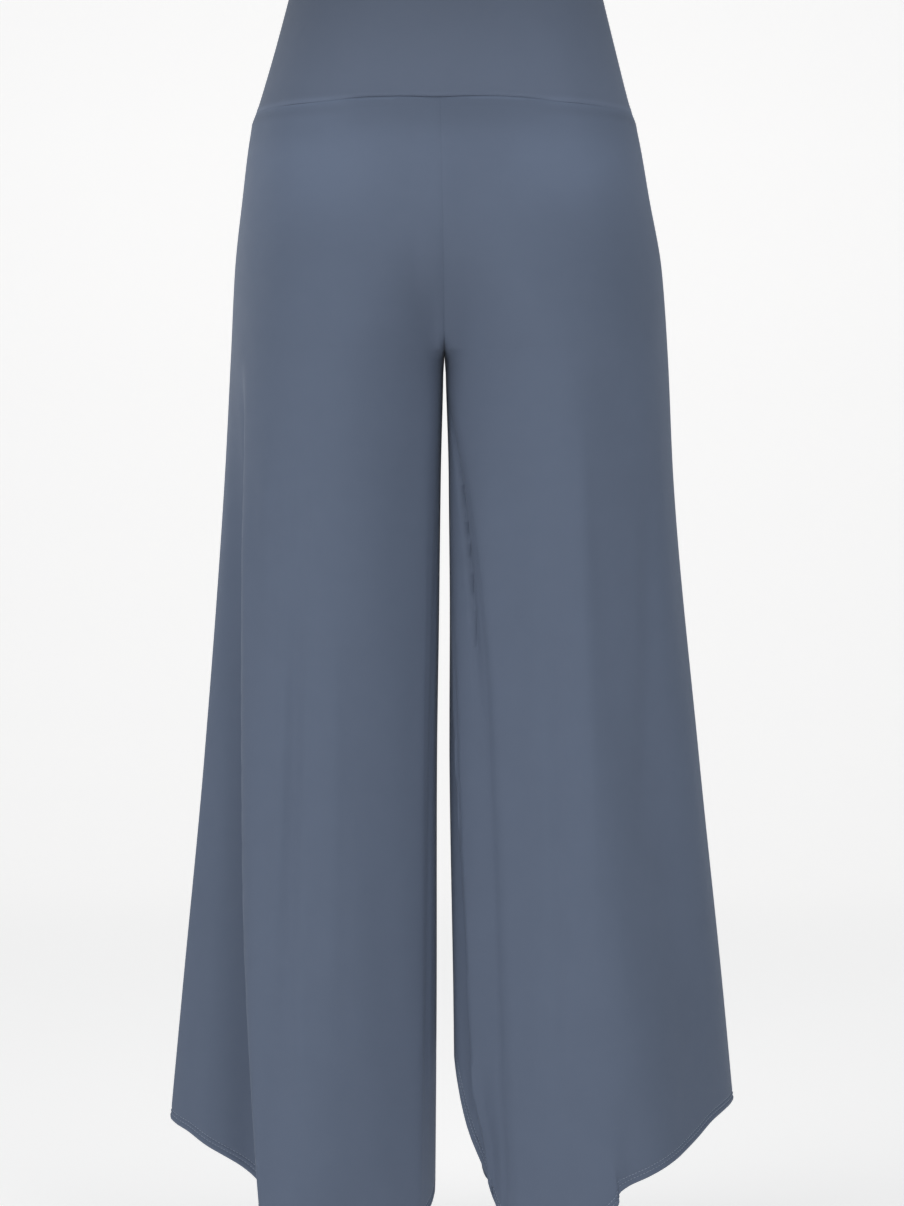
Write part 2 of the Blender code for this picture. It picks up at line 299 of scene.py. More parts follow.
# %% Rings of the legs
def rise_share(drop):
    """How far the legs have parted: 0 at the hips, 1 from the crotch down."""
    share = np.clip((drop - RISE_START) / (CROTCH - RISE_START), 0.0, 1.0)
    return 1.0 - (1.0 - share * share) ** 1.5


def first_angle(drop):
    """The angle at which a leg's front meets the centre seam, or the inseam."""
    return np.degrees(np.arccos(rise_share(drop)))


def ring(leg, angle, drop):
    """A leg's outline at each drop, without folds: across, forwards, and the middle."""
    outside = read_column(LEVELS, "drop", leg, drop)
    inside = read_column(LEVELS, "drop", leg + "_inside", drop)
    parted = rise_share(drop)
    half_width = (outside - inside * parted) / (1.0 + parted)
    centre = (outside * parted + inside * parted) / (1.0 + parted)
    turn = np.radians(angle)
    in_front = np.sin(turn) >= 0.0
    flare = ease((drop - CROTCH) / (HEM_LOWEST - CROTCH))
    power = 1.0 + SIDE_EDGE * flare * 0.5 * (1.0 - np.cos(turn))
    depth = np.where(in_front, read_column(LEVELS, "drop", "front", drop),
                     read_column(LEVELS, "drop", "back", drop))
    y = depth * np.abs(np.sin(turn)) ** power
    return centre - half_width * np.cos(turn), np.where(in_front, -y, y), centre


print("the front meets the centre seam at", first_angle(np.array([200.0, 300.0])), "degrees")

# %% [markdown]
# ## The hanging folds
#
# Jersey is heavy and limp, so it hangs from the hips in long soft folds that deepen
# towards the hem. A cloth simulation would find folds of its own, but not these. So
# each fold is a row in a table: where it starts, where it ends at the hem, how far it
# reaches to either side and how deep it sinks. One deep fold at the right leg's outer
# side makes the front panel stand out like a pleat over the flare behind it. This
# table is the solids' own, and the finer creases come later, with the relief.

# %% The folds
Fold = namedtuple("Fold", "leg top hem bend inner outer depth start full")
MAIN_FOLDS = {
    "right_outer": Fold("right", 151.5, 114.0, 1.5, 14.0, 66.0, 56.0, 335.0, 1020.0),
    "right_middle": Fold("right", 102.0, 98.0, 1.0, 9.0, 9.0, 3.0, 420.0, 640.0),
    "right_inner": Fold("right", 24.0, 20.0, 1.0, 18.0, 6.0, 5.0, 400.0, 900.0),
    "left_inner": Fold("left", 12.0, 47.0, 0.17, 40.0, 9.0, 13.0, 350.0, 640.0),
    "left_inmost": Fold("left", 8.0, 28.0, 1.0, 16.0, 6.0, 7.0, 560.0, 860.0),
    "left_middle": Fold("left", 108.0, 112.0, 1.0, 12.0, 14.0, 4.0, 400.0, 640.0),
    "left_outer": Fold("left", 134.0, 136.0, 1.0, 14.0, 16.0, 5.0, 400.0, 700.0),
    "right_back_outer": Fold("right", 222.0, 236.0, 1.0, 30.0, 18.0, 26.0, 360.0, 1000.0),
    "right_back_inner": Fold("right", 300.0, 292.0, 1.0, 16.0, 24.0, 16.0, 400.0, 980.0),
    "left_back_outer": Fold("left", 212.0, 228.0, 1.0, 26.0, 16.0, 22.0, 380.0, 1000.0),
    "left_back_inner": Fold("left", 282.0, 276.0, 1.0, 20.0, 26.0, 18.0, 370.0, 960.0),
    "left_back_inmost": Fold("left", 352.0, 336.0, 1.0, 18.0, 22.0, 12.0, 560.0, 900.0),
}
FOLD_TOP_WIDTH = 0.55   # a fold's width at its start, against its width at the hem


def fold_run(fold, drop):
    """How far down its length a fold is: 0 at its start, 1 at the hem."""
    return np.clip((drop - fold.start) / (HEM_LOWEST - fold.start), 0.0, 1.0)


def fold_angle(fold, drop):
    """The angle of the bottom of a fold."""
    run = fold_run(fold, drop)
    turned = run ** fold.bend if fold.bend >= 1.0 else 1.0 - (1.0 - run) ** (1.0 / fold.bend)
    return fold.top + (fold.hem - fold.top) * turned


def fold_pull(fold, angle, drop):
    """How far a fold pulls the cloth in towards the middle of the leg."""
    middle = fold_angle(fold, drop)
    away = angle - middle
    widened = FOLD_TOP_WIDTH + (1.0 - FOLD_TOP_WIDTH) * fold_run(fold, drop)
    panel_start = np.where(middle < 180.0, 0.0, 180.0)
    reach = np.where(away > 0.0,
                     np.minimum(fold.outer * widened, panel_start + 180.0 - middle),
                     np.minimum(fold.inner * widened, middle - panel_start))
    grown = np.sqrt(ease((drop - fold.start) / (fold.full - fold.start)))
    near = np.clip(np.abs(away) / np.maximum(reach, 0.001), 0.0, 1.0)
    return fold.depth * grown * 0.5 * (1.0 + np.cos(math.pi * near))


def leg_form(leg, angle, drop):
    """Points on the outside of a leg, in millimetres, with its folds."""
    x, y, centre = ring(leg, angle, drop)
    reach = np.maximum(np.hypot(x - centre, y), 0.001)
    pull = sum(fold_pull(fold, angle, drop) for fold in MAIN_FOLDS.values() if fold.leg == leg)
    keep = 1.0 - pull / reach
    x = centre + (x - centre) * keep
    return np.stack([SIDE_SIGN[leg] * x, y * keep, -drop + 0.0 * x], axis=-1)


print("the deep fold lies at", fold_angle(MAIN_FOLDS["right_outer"], np.array([400.0, 1000.0])))

# %% [markdown]
# ## The curved hem
#
# Each hem dips to a low point in the middle of the leg and rises towards both seams.
# The cutter draws it as a curve, so it is a table of drops round the leg. Low on the
# leg the rows of cloth lean towards this curve. The last rows keep a true distance
# from the hem's edge, measured square to it, because the hem's stitching follows the
# edge at a constant distance, also where the hem is steep.

# %% The hem's curve
Hem = namedtuple("Hem", "angle right left")
HEM = [
    Hem(0.0, 1036.0, 915.0),
    Hem(10.0, 1048.0, 942.0),
    Hem(15.0, 1053.0, 967.0),
    Hem(20.0, 1057.0, 995.0),
    Hem(25.0, 1059.0, 1018.0),
    Hem(30.0, 1061.0, 1031.0),
    Hem(40.0, 1064.0, 1051.0),
    Hem(52.0, 1066.0, 1063.0),
    Hem(66.0, 1066.0, 1066.0),
    Hem(80.0, 1063.0, 1060.0),
    Hem(90.0, 1059.0, 1046.0),
    Hem(97.0, 1055.0, 1028.0),
    Hem(110.0, 1044.0, 1016.5),     # from here to 150 degrees the left hem hangs
    Hem(123.0, 1031.0, 1005.0),     # up to 4 mm lower than the solid's
    Hem(137.0, 1017.0, 991.5),
    Hem(150.0, 1005.0, 977.5),
    Hem(165.0, 990.0, 970.0),
    Hem(180.0, 982.0, 967.0),
]
HEM_MARGIN = 14.0       # rows this near the edge keep a true distance from it
STEEPEST = 3.0          # how much a row's distance is stretched where the hem is steepest
HEM_READINGS = 721      # of the hem's slope round a leg, two to a degree
SMOOTHED_READINGS = 17  # of which a running mean is taken


def hem_drop(leg, angle):
    """The hem's drop at an angle; the back repeats the front."""
    return read_column(HEM, "angle", leg, np.where(angle <= 180.0, angle, 360.0 - angle))


def run_along(line):
    """How far along a line of points each of them lies."""
    steps = np.linalg.norm(np.diff(line, axis=0), axis=1)
    return np.concatenate(([0.0], np.cumsum(steps)))


def smoothed(values, count):
    """The running mean of an odd count of values."""
    padded = np.pad(values, count // 2, mode="edge")
    return np.convolve(padded, np.ones(count) / count, mode="valid")


def hem_stretch(leg):
    """Angles over front and back, and 1 / cosine of the hem's slope at each of them."""
    angles = np.linspace(0.0, 360.0, HEM_READINGS)
    drops = hem_drop(leg, angles)
    run = run_along(leg_form(leg, angles, drops)[:, :2])
    slope = smoothed(np.gradient(drops, run), SMOOTHED_READINGS)
    return angles, np.minimum(np.sqrt(1.0 + slope * slope), STEEPEST)


HEM_STRETCH = {leg: hem_stretch(leg) for leg in SIDE_SIGN}


def row_drop(leg, level, angle):
    """The drop of a row of cloth at an angle. A row is named by its level: its drop
    where the hem hangs lowest."""
    if level <= HEM_FROM:
        return np.full(np.shape(angle), level)
    hem = hem_drop(leg, angle)
    stretch = np.interp(angle, *HEM_STRETCH[leg])
    if level >= HEM_LOWEST - HEM_MARGIN:
        return hem - (HEM_LOWEST - level) * stretch
    share = (level - HEM_FROM) / (HEM_LOWEST - HEM_MARGIN - HEM_FROM)
    return HEM_FROM + share * (hem - HEM_MARGIN * stretch - HEM_FROM)


print("the hems are steepest by a factor of",
      {leg: round(float(stretch.max()), 2) for leg, (_, stretch) in HEM_STRETCH.items()})

# %% [markdown]
# ## Rows and columns of a panel
#
# A panel is laid out like cloth on the table: rows run across and columns run down.
# They are spaced by length measured on the cloth, not by angle, so the grid is as
# even inside a fold as outside it. Next to every seam and next to the hem they lie
# closer together, because there the cloth rolls over within 2 mm.

# %% Spacing of rows and columns
LEG_COLUMNS = 84        # between the closer ones beside the seams
EDGE_STEPS = [0.0, 0.25, 0.7, 1.3, 2.1, 3.2, 4.8, 7.0]      # distances from a seam
UNDER_WAIST_STEPS = [8.5, 10.0, 12.0, 14.5, 19.0, 25.0]     # and further ones below the waist
HIP_ROWS = 9            # from there to where the rows follow the curve of the rise
RISE_ROWS_FROM = RISE_START + 40.0
RISE_ROWS = 30
LEG_ROWS = 75           # from the crotch to where the rows begin to lean
LEANING_ROWS = 39
HEM_STEPS = [12.0, 10.0, 8.6, 7.5, 6.7, 6.0, 5.3, 4.5, 3.6, 2.4, 1.4]
TURN_RADIUS = 0.8       # of the cloth where it folds over at the hem
FOLD_TURNS = [0.0, 30.0, 60.0, 90.0]                # degrees round a folded edge
ROW_READINGS = 481      # along a row, to measure its length


def rows_after(first, last, count):
    """Evenly spaced rows, without the first place and with the last."""
    return list(np.linspace(first, last, count + 1)[1:])


def rows_round_fold(radius):
    """Distances from an edge of the rows that go round its fold."""
    return [radius * (1.0 - math.sin(math.radians(turn))) for turn in FOLD_TURNS]


def leg_levels():
    """The levels of a leg panel's rows, from the waist seam to the hem's edge."""
    levels = [WAIST_SEAM + step for step in EDGE_STEPS + UNDER_WAIST_STEPS]
    levels += rows_after(levels[-1], RISE_ROWS_FROM, HIP_ROWS)
    rise = CROTCH - RISE_START
    turn = math.asin((RISE_ROWS_FROM - RISE_START) / rise)
    for step in rows_after(turn, 0.5 * math.pi, RISE_ROWS):
        levels.append(RISE_START + rise * math.sin(step))
    levels += rows_after(CROTCH, HEM_FROM, LEG_ROWS)
    levels += rows_after(HEM_FROM, HEM_LOWEST - HEM_MARGIN, LEANING_ROWS)
    levels += [HEM_LOWEST - step for step in HEM_STEPS + rows_round_fold(TURN_RADIUS)]
    return levels


def lay_row(form, first, last, columns):
    """Lay out one row of a panel on a form, from its first place to its last. Its columns
    are spaced by length on the cloth. Gives its points, their distances from the row's
    middle, and their places on the form."""
    places = np.linspace(first, last, ROW_READINGS)
    run = run_along(form(places)[:, :2])
    edge = np.array(EDGE_STEPS)
    middle = np.linspace(edge[-1], run[-1] - edge[-1], columns + 1)
    wanted = np.concatenate([edge[:-1], middle, (run[-1] - edge[:-1])[::-1]])
    place = np.interp(wanted, run, places)
    return form(place), wanted - 0.5 * run[-1], place


def lay_out_panel(leg, facing):
    """The outside of a leg panel: its points, their distances from the panel's middle
    line, and their angles round the leg."""
    rows = []
    for level in LEG_LEVELS:
        start = first_angle(level)
        first, last = (start, 180.0) if facing == "front" else (180.0, 360.0 - start)
        rows.append(lay_row(lambda angle: leg_form(leg, angle, row_drop(leg, level, angle)),
                            first, last, LEG_COLUMNS))
    return [np.array(part) for part in zip(*rows)]


LEG_LEVELS = leg_levels()
layout = {}
for leg in SIDE_SIGN:
    for facing in FACING_SIGN:
        layout[leg, facing] = lay_out_panel(leg, facing)
        _, across, _ = layout[leg, facing]
        print(f"{facing} {leg}: {across.shape[0]} rows, {across.shape[1]} columns,",
              f"{2 * across[0, -1]:.0f} mm wide at the waist and {2 * across[-1, -1]:.0f} at the hem")

# %% [markdown]
# ## Finer creases
#
# Between the main folds the cloth has creases that are too fine for the solids. Some
# are troughs of a few millimetres that start at the hips or the knee and run out
# before the hem, and some are low ridges, with a negative depth. A noise texture
# would make them all alike. In a table each gets its own place, length, width and
# depth, and the sides that face away from the camera get their share as well. Some
# creases run beside a main fold, so their table says how far away. Four main folds are
# shallower on the cloth than in the solids, and are eased.

# %% The creases
Crease = namedtuple("Crease", "leg top bottom inner outer depth start end")
PAST_HEM = 1200.0       # the end of a crease that runs out through the hem
CREASES = [
    Crease("right", 111.0, 91.0, 6.0, 5.0, 1.6, 400.0, 1010.0),
    Crease("right", 42.0, 38.0, 26.0, 42.0, 2.0, 280.0, PAST_HEM),
    Crease("right", 15.5, 20.5, 3.0, 3.0, 1.8, 440.0, 1010.0),
    Crease("right", 84.0, 77.0, 7.0, 9.0, -1.0, 520.0, 960.0),
    Crease("right", 128.0, 108.0, 10.0, 8.0, -1.4, 380.0, 900.0),
    Crease("right", 172.0, 156.0, 9.0, 7.0, 1.6, 620.0, PAST_HEM),
    Crease("left", 118.0, 126.0, 30.0, 34.0, 6.0, 270.0, 930.0),
    Crease("left", 128.0, 142.0, 34.0, 32.0, 6.0, 560.0, PAST_HEM),
    Crease("left", 101.0, 104.0, 6.0, 15.0, 4.0, 930.0, PAST_HEM),
    Crease("left", 100.0, 92.0, 7.0, 8.0, -1.5, 360.0, 900.0),
    Crease("left", 76.0, 66.0, 12.0, 10.0, -1.6, 440.0, PAST_HEM),
    Crease("left", 84.0, 77.0, 6.0, 6.0, 1.3, 560.0, 980.0),
    Crease("left", 15.0, 26.0, 3.5, 3.5, 2.6, 540.0, 965.0),
    Crease("left", 34.5, 34.5, 7.5, 10.0, 3.8, 890.0, PAST_HEM),
    Crease("left", 146.0, 121.0, 9.0, 10.0, 1.4, 360.0, 760.0),
    Crease("right", 196.0, 204.0, 8.0, 10.0, 2.4, 420.0, PAST_HEM),
    Crease("right", 250.0, 262.0, 11.0, 8.0, 3.0, 360.0, 930.0),
    Crease("right", 272.0, 268.0, 7.0, 9.0, -1.8, 470.0, PAST_HEM),
    Crease("right", 322.0, 330.0, 9.0, 7.0, 2.6, 520.0, PAST_HEM),
    Crease("left", 194.0, 202.0, 7.0, 9.0, 2.0, 500.0, PAST_HEM),
    Crease("left", 246.0, 254.0, 9.0, 12.0, 3.2, 340.0, 980.0),
    Crease("left", 266.0, 262.0, 6.0, 7.0, -1.5, 430.0, 900.0),
    Crease("left", 306.0, 312.0, 10.0, 8.0, 3.0, 410.0, PAST_HEM),
]
CREASE_FADE = 110.0     # the length over which a crease starts and ends

Beside = namedtuple("Beside", "fold away inner outer depth hem_depth end")
BESIDE_FOLDS = [        # creases that keep a number of degrees away from a main fold
    Beside("left_inner", -6.0, 3.2, 4.0, 6.4, -3.0, 670.0),
    Beside("left_inner", 0.0, 2.6, 2.6, 0.0, 1.0, PAST_HEM),
    Beside("left_inner", 5.0, 10.0, 26.0, -1.5, -1.2, PAST_HEM),
    Beside("right_outer", 0.0, 7.0, 7.0, 3.0, 3.0, PAST_HEM),
    Beside("right_outer", 14.0, 14.0, 12.0, 1.2, 1.2, PAST_HEM),
    Beside("left_back_inner", 0.0, 5.0, 5.0, 1.0, 1.8, PAST_HEM),
    Beside("right_back_outer", -20.0, 10.0, 14.0, -2.5, -2.5, PAST_HEM),
]
EASED_FOLDS = {         # the share of a main fold's depth that is taken out again
    "right_inner": 0.7,
    "left_inner": 0.86,
    "left_middle": 0.85,
    "left_outer": 0.85,
}


def lopsided(away, inner, outer):
    """A soft valley profile of height 1 that is wider on one side."""
    near = np.clip(np.abs(away) / np.where(away > 0.0, outer, inner), 0.0, 1.0)
    return 0.5 * (1.0 + np.cos(math.pi * near))


def between(drop, start, end):
    """1 along a crease, and 0 above its start and below its end, with soft changes."""
    return ease((drop - start) / CREASE_FADE) * ease((end - drop) / CREASE_FADE)


def crease_relief(leg, angle, drop):
    """How far the finer creases lift or sink the cloth, in millimetres outwards."""
    relief = np.zeros(angle.shape)
    for crease in CREASES:
        if crease.leg == leg:
            run = np.clip((drop - crease.start) / (crease.end - crease.start), 0.0, 1.0)
            middle = crease.top + (crease.bottom - crease.top) * run
            depth = crease.depth * between(drop, crease.start, crease.end)
            relief -= depth * lopsided(angle - middle, crease.inner, crease.outer)
    for beside in BESIDE_FOLDS:
        fold = MAIN_FOLDS[beside.fold]
        if fold.leg == leg:
            middle = fold_angle(fold, drop) + beside.away
            depth = beside.depth + (beside.hem_depth - beside.depth) * fold_run(fold, drop)
            depth *= between(drop, fold.start, beside.end)
            relief -= depth * lopsided(angle - middle, beside.inner, beside.outer)
    return relief


def ease_folds(leg, points, angle, drop):
    """Take some of the main folds' depth out again, straight away from the middle of
    the leg, as the folds were sunk. Square to the folds' own walls it would bunch
    the cloth up in their bottoms."""
    centre = ring(leg, angle, drop)[2]
    across = SIDE_SIGN[leg] * points[..., 0] - centre
    given = np.zeros(angle.shape)
    for name, share in EASED_FOLDS.items():
        if MAIN_FOLDS[name].leg == leg:
            given += share * fold_pull(MAIN_FOLDS[name], angle, drop)
    given /= np.maximum(np.hypot(across, points[..., 1]), 0.001)
    points[..., 0] += SIDE_SIGN[leg] * across * given
    points[..., 1] *= 1.0 + given


print(len(CREASES), "finer creases, and", len(EASED_FOLDS), "main folds are eased")

# %% [markdown]
# ## The front beside the inseams
#
# Over the thighs the cloth is drawn to the front, and beside the inseam it turns back
# more sharply than the solids' round form does, as on an ironed leg. A second table of
# levels could say so. But a circle becomes squarer when the sine of its angle gets a
# smaller power, and that is one number for each leg. Just above the crotch the two
# fronts would then meet in a corner, so there the centre seam is filled out and
# rounded.

# %% Fill out the front
FULLNESS = {"right": 0.54, "left": 0.60}    # taken from the sine's power at the inseam
COMES_FORWARD = Onset(225.0, 100.0)     # where the front of the hips begins to stand out
LEG_DIFFERS = Onset(CROTCH, 100.0)      # above this both fronts are as full as the right
CENTRE_FULLNESS = 14.0      # how far the centre seam is filled out at most
CENTRE_FILLS = Onset(255.0, 45.0)
CENTRE_HALF_WIDTH = 8.0     # of what is filled out
CENTRE_EDGE = 0.12          # the sine from which on it is filled out in full
CENTRE_TAPER = 1.3          # how fast the filling fades towards the front of the leg
CENTRE_RADIUS = 6.0         # how roundly the two fronts meet at the centre seam
CORNER_SLOPE = 0.42         # of the corner that the two fronts would make there
CORNER_OPENS = Onset(225.0, 60.0)
CORNER_STEEPENS = Onset(300.0, 30.0)    # by a slope of 1 more
CENTRE_ENDS = Onset(CROTCH - 3.0, 8.0)
LEAST_SINE = 1e-6           # so that its negative power stays finite at the inseam


def centre_fullness(across, sine, drop):
    """How far the front is filled out and rounded at the centre seam, from the hips to
    the crotch."""
    at_centre = np.exp(-(across / CENTRE_HALF_WIDTH) ** 2) * ease(sine / CENTRE_EDGE)
    filled = CENTRE_FULLNESS * sets_in(drop, CENTRE_FILLS) * at_centre
    filled *= (1.0 - sine) ** CENTRE_TAPER
    slope = CORNER_SLOPE * sets_in(drop, CORNER_OPENS) + sets_in(drop, CORNER_STEEPENS)
    rounded = slope * (np.hypot(across, CENTRE_RADIUS) - np.abs(across))
    return (filled + rounded) * (1.0 - sets_in(drop, CENTRE_ENDS))


def forward_fullness(leg, points, angle, drop):
    """How far the front of a leg stands further forward beside the inseam, where the
    cloth turns more sharply than the solid's round form."""
    more = (FULLNESS[leg] - FULLNESS["right"]) * sets_in(drop, LEG_DIFFERS)
    fullness = (FULLNESS["right"] + more) * sets_in(drop, COMES_FORWARD)
    turn = np.radians(np.clip(angle, 0.0, 90.0))
    sine = np.maximum(np.sin(turn), LEAST_SINE)
    fuller = -points[..., 1] * (sine ** (-fullness * np.cos(turn) ** 2) - 1.0)
    fuller += centre_fullness(points[..., 0], sine, drop)
    return np.where(angle < 90.0, fuller, 0.0)


print("the centre seam is filled out by up to", CENTRE_FULLNESS, "mm")

# %% [markdown]
# ## Edges that move sideways
#
# Some forms of hanging cloth can't be made by lifting or sinking it. The inseams hang
# a little apart, more in some places than in others, and three folds lap over the
# hollow beside them. A sculptor would drag the cloth there. Here two tables say how
# far it is shifted sideways, so that the edges stay smooth lines.

# %% Part the inseams and lap the folds
Parting = namedtuple("Parting", "drop right left")
PARTINGS = [            # how far each inseam hangs further out than the solid's
    Parting(331.0, 0.0, 0.0),
    Parting(345.0, 0.8, 0.9),
    Parting(366.0, 0.7, 0.9),
    Parting(435.0, 0.1, 0.6),
    Parting(538.0, 0.0, 1.1),
    Parting(676.0, 0.7, 0.4),
    Parting(912.0, 0.0, 0.8),
    Parting(1066.0, 0.0, 1.0),
]


def parting_shift(leg, angle, drop):
    """How far the cloth near an inseam is moved away from the other leg."""
    near = np.maximum(np.cos(np.radians(angle)), 0.0) ** 2
    return near * read_column(PARTINGS, "drop", leg, drop)


Lap = namedtuple("Lap", "leg top bottom inner outer shift start")
LAPS = [
    Lap("right", 139.0, 99.0, 10.0, 6.0, 3.5, 430.0),
    Lap("left", 91.0, 92.0, 15.0, 5.0, 8.0, 960.0),
    Lap("left", 29.0, 29.0, 15.0, 30.0, 7.4, 942.0),
]
LAP_FADE = 70.0         # the length over which a lap sets in


def lap_shift(leg, angle, drop):
    """How far the edge of a fold is pushed sideways over the hollow beside it."""
    shift = np.zeros(angle.shape)
    for lap in LAPS:
        if lap.leg == leg:
            middle = lap.top + (lap.bottom - lap.top) * fold_run(lap, drop)
            pushed = lap.shift * sets_in(drop, Onset(lap.start, LAP_FADE))
            shift += pushed * lopsided(angle - middle, lap.inner, lap.outer)
    return shift


print(len(LAPS), "folds lap over by up to", max(lap.shift for lap in LAPS), "mm")

# %% [markdown]
# ## Tension and ease at the hips
#
# Over the hips the cloth is stretched smooth, and just under the waist seam it stands
# out a little where the hip is fullest. Towards the crotch it goes slack, and two
# soft hollows fan out from there. These are places on the front and the back of the
# body, not on a leg, so their table is in millimetres across and down.

# %% The soft places of the hips
Spot = namedtuple("Spot", "across drop wide high height")
HIP_SPOTS = {
    "front": [
        Spot(-116.0, 176.0, 58.0, 40.0, 1.8),
        Spot(112.0, 174.0, 60.0, 42.0, 3.0),
        Spot(-6.0, 190.0, 46.0, 60.0, -1.6),
        Spot(-22.0, 262.0, 38.0, 44.0, -3.2),
        Spot(30.0, 266.0, 28.0, 40.0, -1.8),
    ],
    "back": [
        Spot(-66.0, 214.0, 60.0, 50.0, 3.0),
        Spot(70.0, 210.0, 62.0, 52.0, 3.0),
        Spot(0.0, 240.0, 26.0, 70.0, -2.0),
        Spot(-52.0, 322.0, 40.0, 16.0, -2.6),
        Spot(56.0, 318.0, 42.0, 15.0, -2.8),
    ],
}
FACE_DEPTH = 60.0       # the depth over which the front passes into the back


def spot_height(across, drop, spot):
    """The height of a soft round spot at a place on the body."""
    aside = (across - spot.across) / spot.wide
    below = (drop - spot.drop) / spot.high
    return spot.height * np.exp(-aside * aside - below * below)


def hip_relief(points):
    """How far the soft places lift or sink the cloth, in millimetres outwards."""
    relief = np.zeros(points.shape[:-1])
    for facing, spots in HIP_SPOTS.items():
        on_face = ease(0.5 + FACING_SIGN[facing] * points[..., 1] / FACE_DEPTH)
        for spot in spots:
            relief += on_face * spot_height(points[..., 0], -points[..., 2], spot)
    return relief


print(sum(len(spots) for spots in HIP_SPOTS.values()), "soft places at the hips")

# %% [markdown]
# ## Relief of the cloth
#
# Seams change the surface by about a millimetre, and that is just what the eye reads
# as sewing. At a seam the cloth rolls in, and beside it the allowances underneath lift
# it a little. A bump map could show this from the front, but not where the seam lies
# on the outline, so the points themselves move. Next to the roll there are only soft
# round bumps and hollows at a distance from the seam, so one small function makes
# them all.

# %% Relief beside the seams
Bump = namedtuple("Bump", "place width height")

HALF_GAP = 0.03         # from the cloth to the plane of a seam
STEER_WITHIN = 9.0      # this near a seam the relief stays in the seam's plane
ROLL_WIDTH = 2.0
ROLL_DEPTH = 0.9        # at the side seams and inseams
FLAT_ROLL_DEPTH = 0.08  # at the centre seams, which are pressed flat
OVER_ALLOWANCE = Bump(4.5, 2.5, 0.3)            # beside a side seam or an inseam
OVER_FLAT_ALLOWANCE = Bump(4.5, 2.5, 0.12)      # beside a centre seam


def bumps(position, *shapes):
    """The height of soft round bumps and hollows at a position."""
    return sum(shape.height * np.exp(-((position - shape.place) / shape.width) ** 2)
               for shape in shapes)


def roll(distance, depth):
    """How far the cloth sinks where it rolls into a seam."""
    return -depth * (1.0 - np.clip(distance / ROLL_WIDTH, 0.0, 1.0)) ** 2


def centre_distance(points):
    """How far points lie from the centre seams, in the plane x = 0 above the crotch."""
    return np.abs(points[..., 0]) + np.maximum(0.0, -points[..., 2] - CROTCH)


def side_distance(points):
    """How far points lie from the side seams and inseams, in the plane y = 0."""
    return np.abs(points[..., 1])


def steered(normals, points):
    """The directions in which relief moves the cloth: square to it, but beside a seam
    within the seam's plane, so that the two sides of a seam never part."""
    directions = normals.copy()
    directions[..., 0] *= ease(centre_distance(points) / STEER_WITHIN)
    directions[..., 1] *= ease(side_distance(points) / STEER_WITHIN)
    return directions


print("a side seam is", ROLL_DEPTH, "mm deep and a centre seam", FLAT_ROLL_DEPTH, "mm")

# %% [markdown]
# ## The waist seam
#
# The waist seam joins the double band to the single cloth of the legs, so it is the
# seam that shows most. In the middle of the front it is drawn up and lies in. At the
# sides, where the hips fill the cloth, it lies on a low ridge over its allowances that
# catches the light, and the jersey's material adds a painted highlight just above the
# seam and a painted line of shade below it. One groove all round would miss both, so
# it changes from the middle to the sides, with small bumps and hollows where it wavers.

# %% How the waist seam lies
SIDES = Onset(62.0, 45.0)       # where the sides of the body begin
SEAM_PULL = Onset(125.0, 28.0)  # where the side seams pull the ridge flat
WAIST_LIFT = 2.2                # how far the seam is drawn up in the middle of the front
WAIST_SAGS = [Bump(-3.0, 17.0, 1.2), Bump(46.0, 14.0, -0.5)]
SAG_REACH = Bump(-WAIST_SEAM, 14.0, 1.0)    # the cloth that moves with the seam
GROOVE_DEPTH = 0.9
GROOVE_CHANGES = [Bump(-4.0, 20.0, 0.35), Bump(55.0, 22.0, -0.35)]
WAIST_RIDGE = Bump(1.5, 4.5, 1.2)
FLATTENED = 5.0 / 6.0           # the share of the ridge that is gone at the side seams


def towards_side(points):
    """0 in the middle of the body, 1 at its sides."""
    return sets_in(np.abs(points[..., 0]), SIDES)


def waist_sag(points):
    """How far the waist seam hangs lower, with the cloth just above and below it: it
    is drawn up in the middle of the front, and sags again at the centre seam."""
    in_front = ease(-points[..., 1] / FACE_DEPTH)
    sag = bumps(points[..., 0], *WAIST_SAGS) - WAIST_LIFT * (1.0 - towards_side(points))
    return in_front * sag * bumps(points[..., 2], SAG_REACH)


def waist_groove(points):
    """How deep the waist seam lies in: most at the centre seam, not at the sides."""
    depth = GROOVE_DEPTH + bumps(points[..., 0], *GROOVE_CHANGES)
    return depth * (1.0 - towards_side(points))


def waist_ridge(points, below):
    """How far the cloth stands out at the sides over the waist seam's allowances, at
    a distance below the seam. It is pulled flat again beside the side seams."""
    standing = 1.0 - FLATTENED * sets_in(np.abs(points[..., 0]), SEAM_PULL)
    return standing * towards_side(points) * bumps(below, WAIST_RIDGE)


print("the waist seam is drawn up by", WAIST_LIFT, "mm in the middle of the front")

# %% [markdown]
# ## The hem's needle lines and slow waves
#
# At the hem the twin needle presses two lines into the cloth, with a small tunnel
# between them, and the thread draws it into fine puckers. Away from the seams the
# cloth is never quite smooth either, so slow waves of less than half a millimetre run
# over it. They are a few sines of random lengths, which have no grain as a noise
# texture would. Then all the relief of a leg comes together.

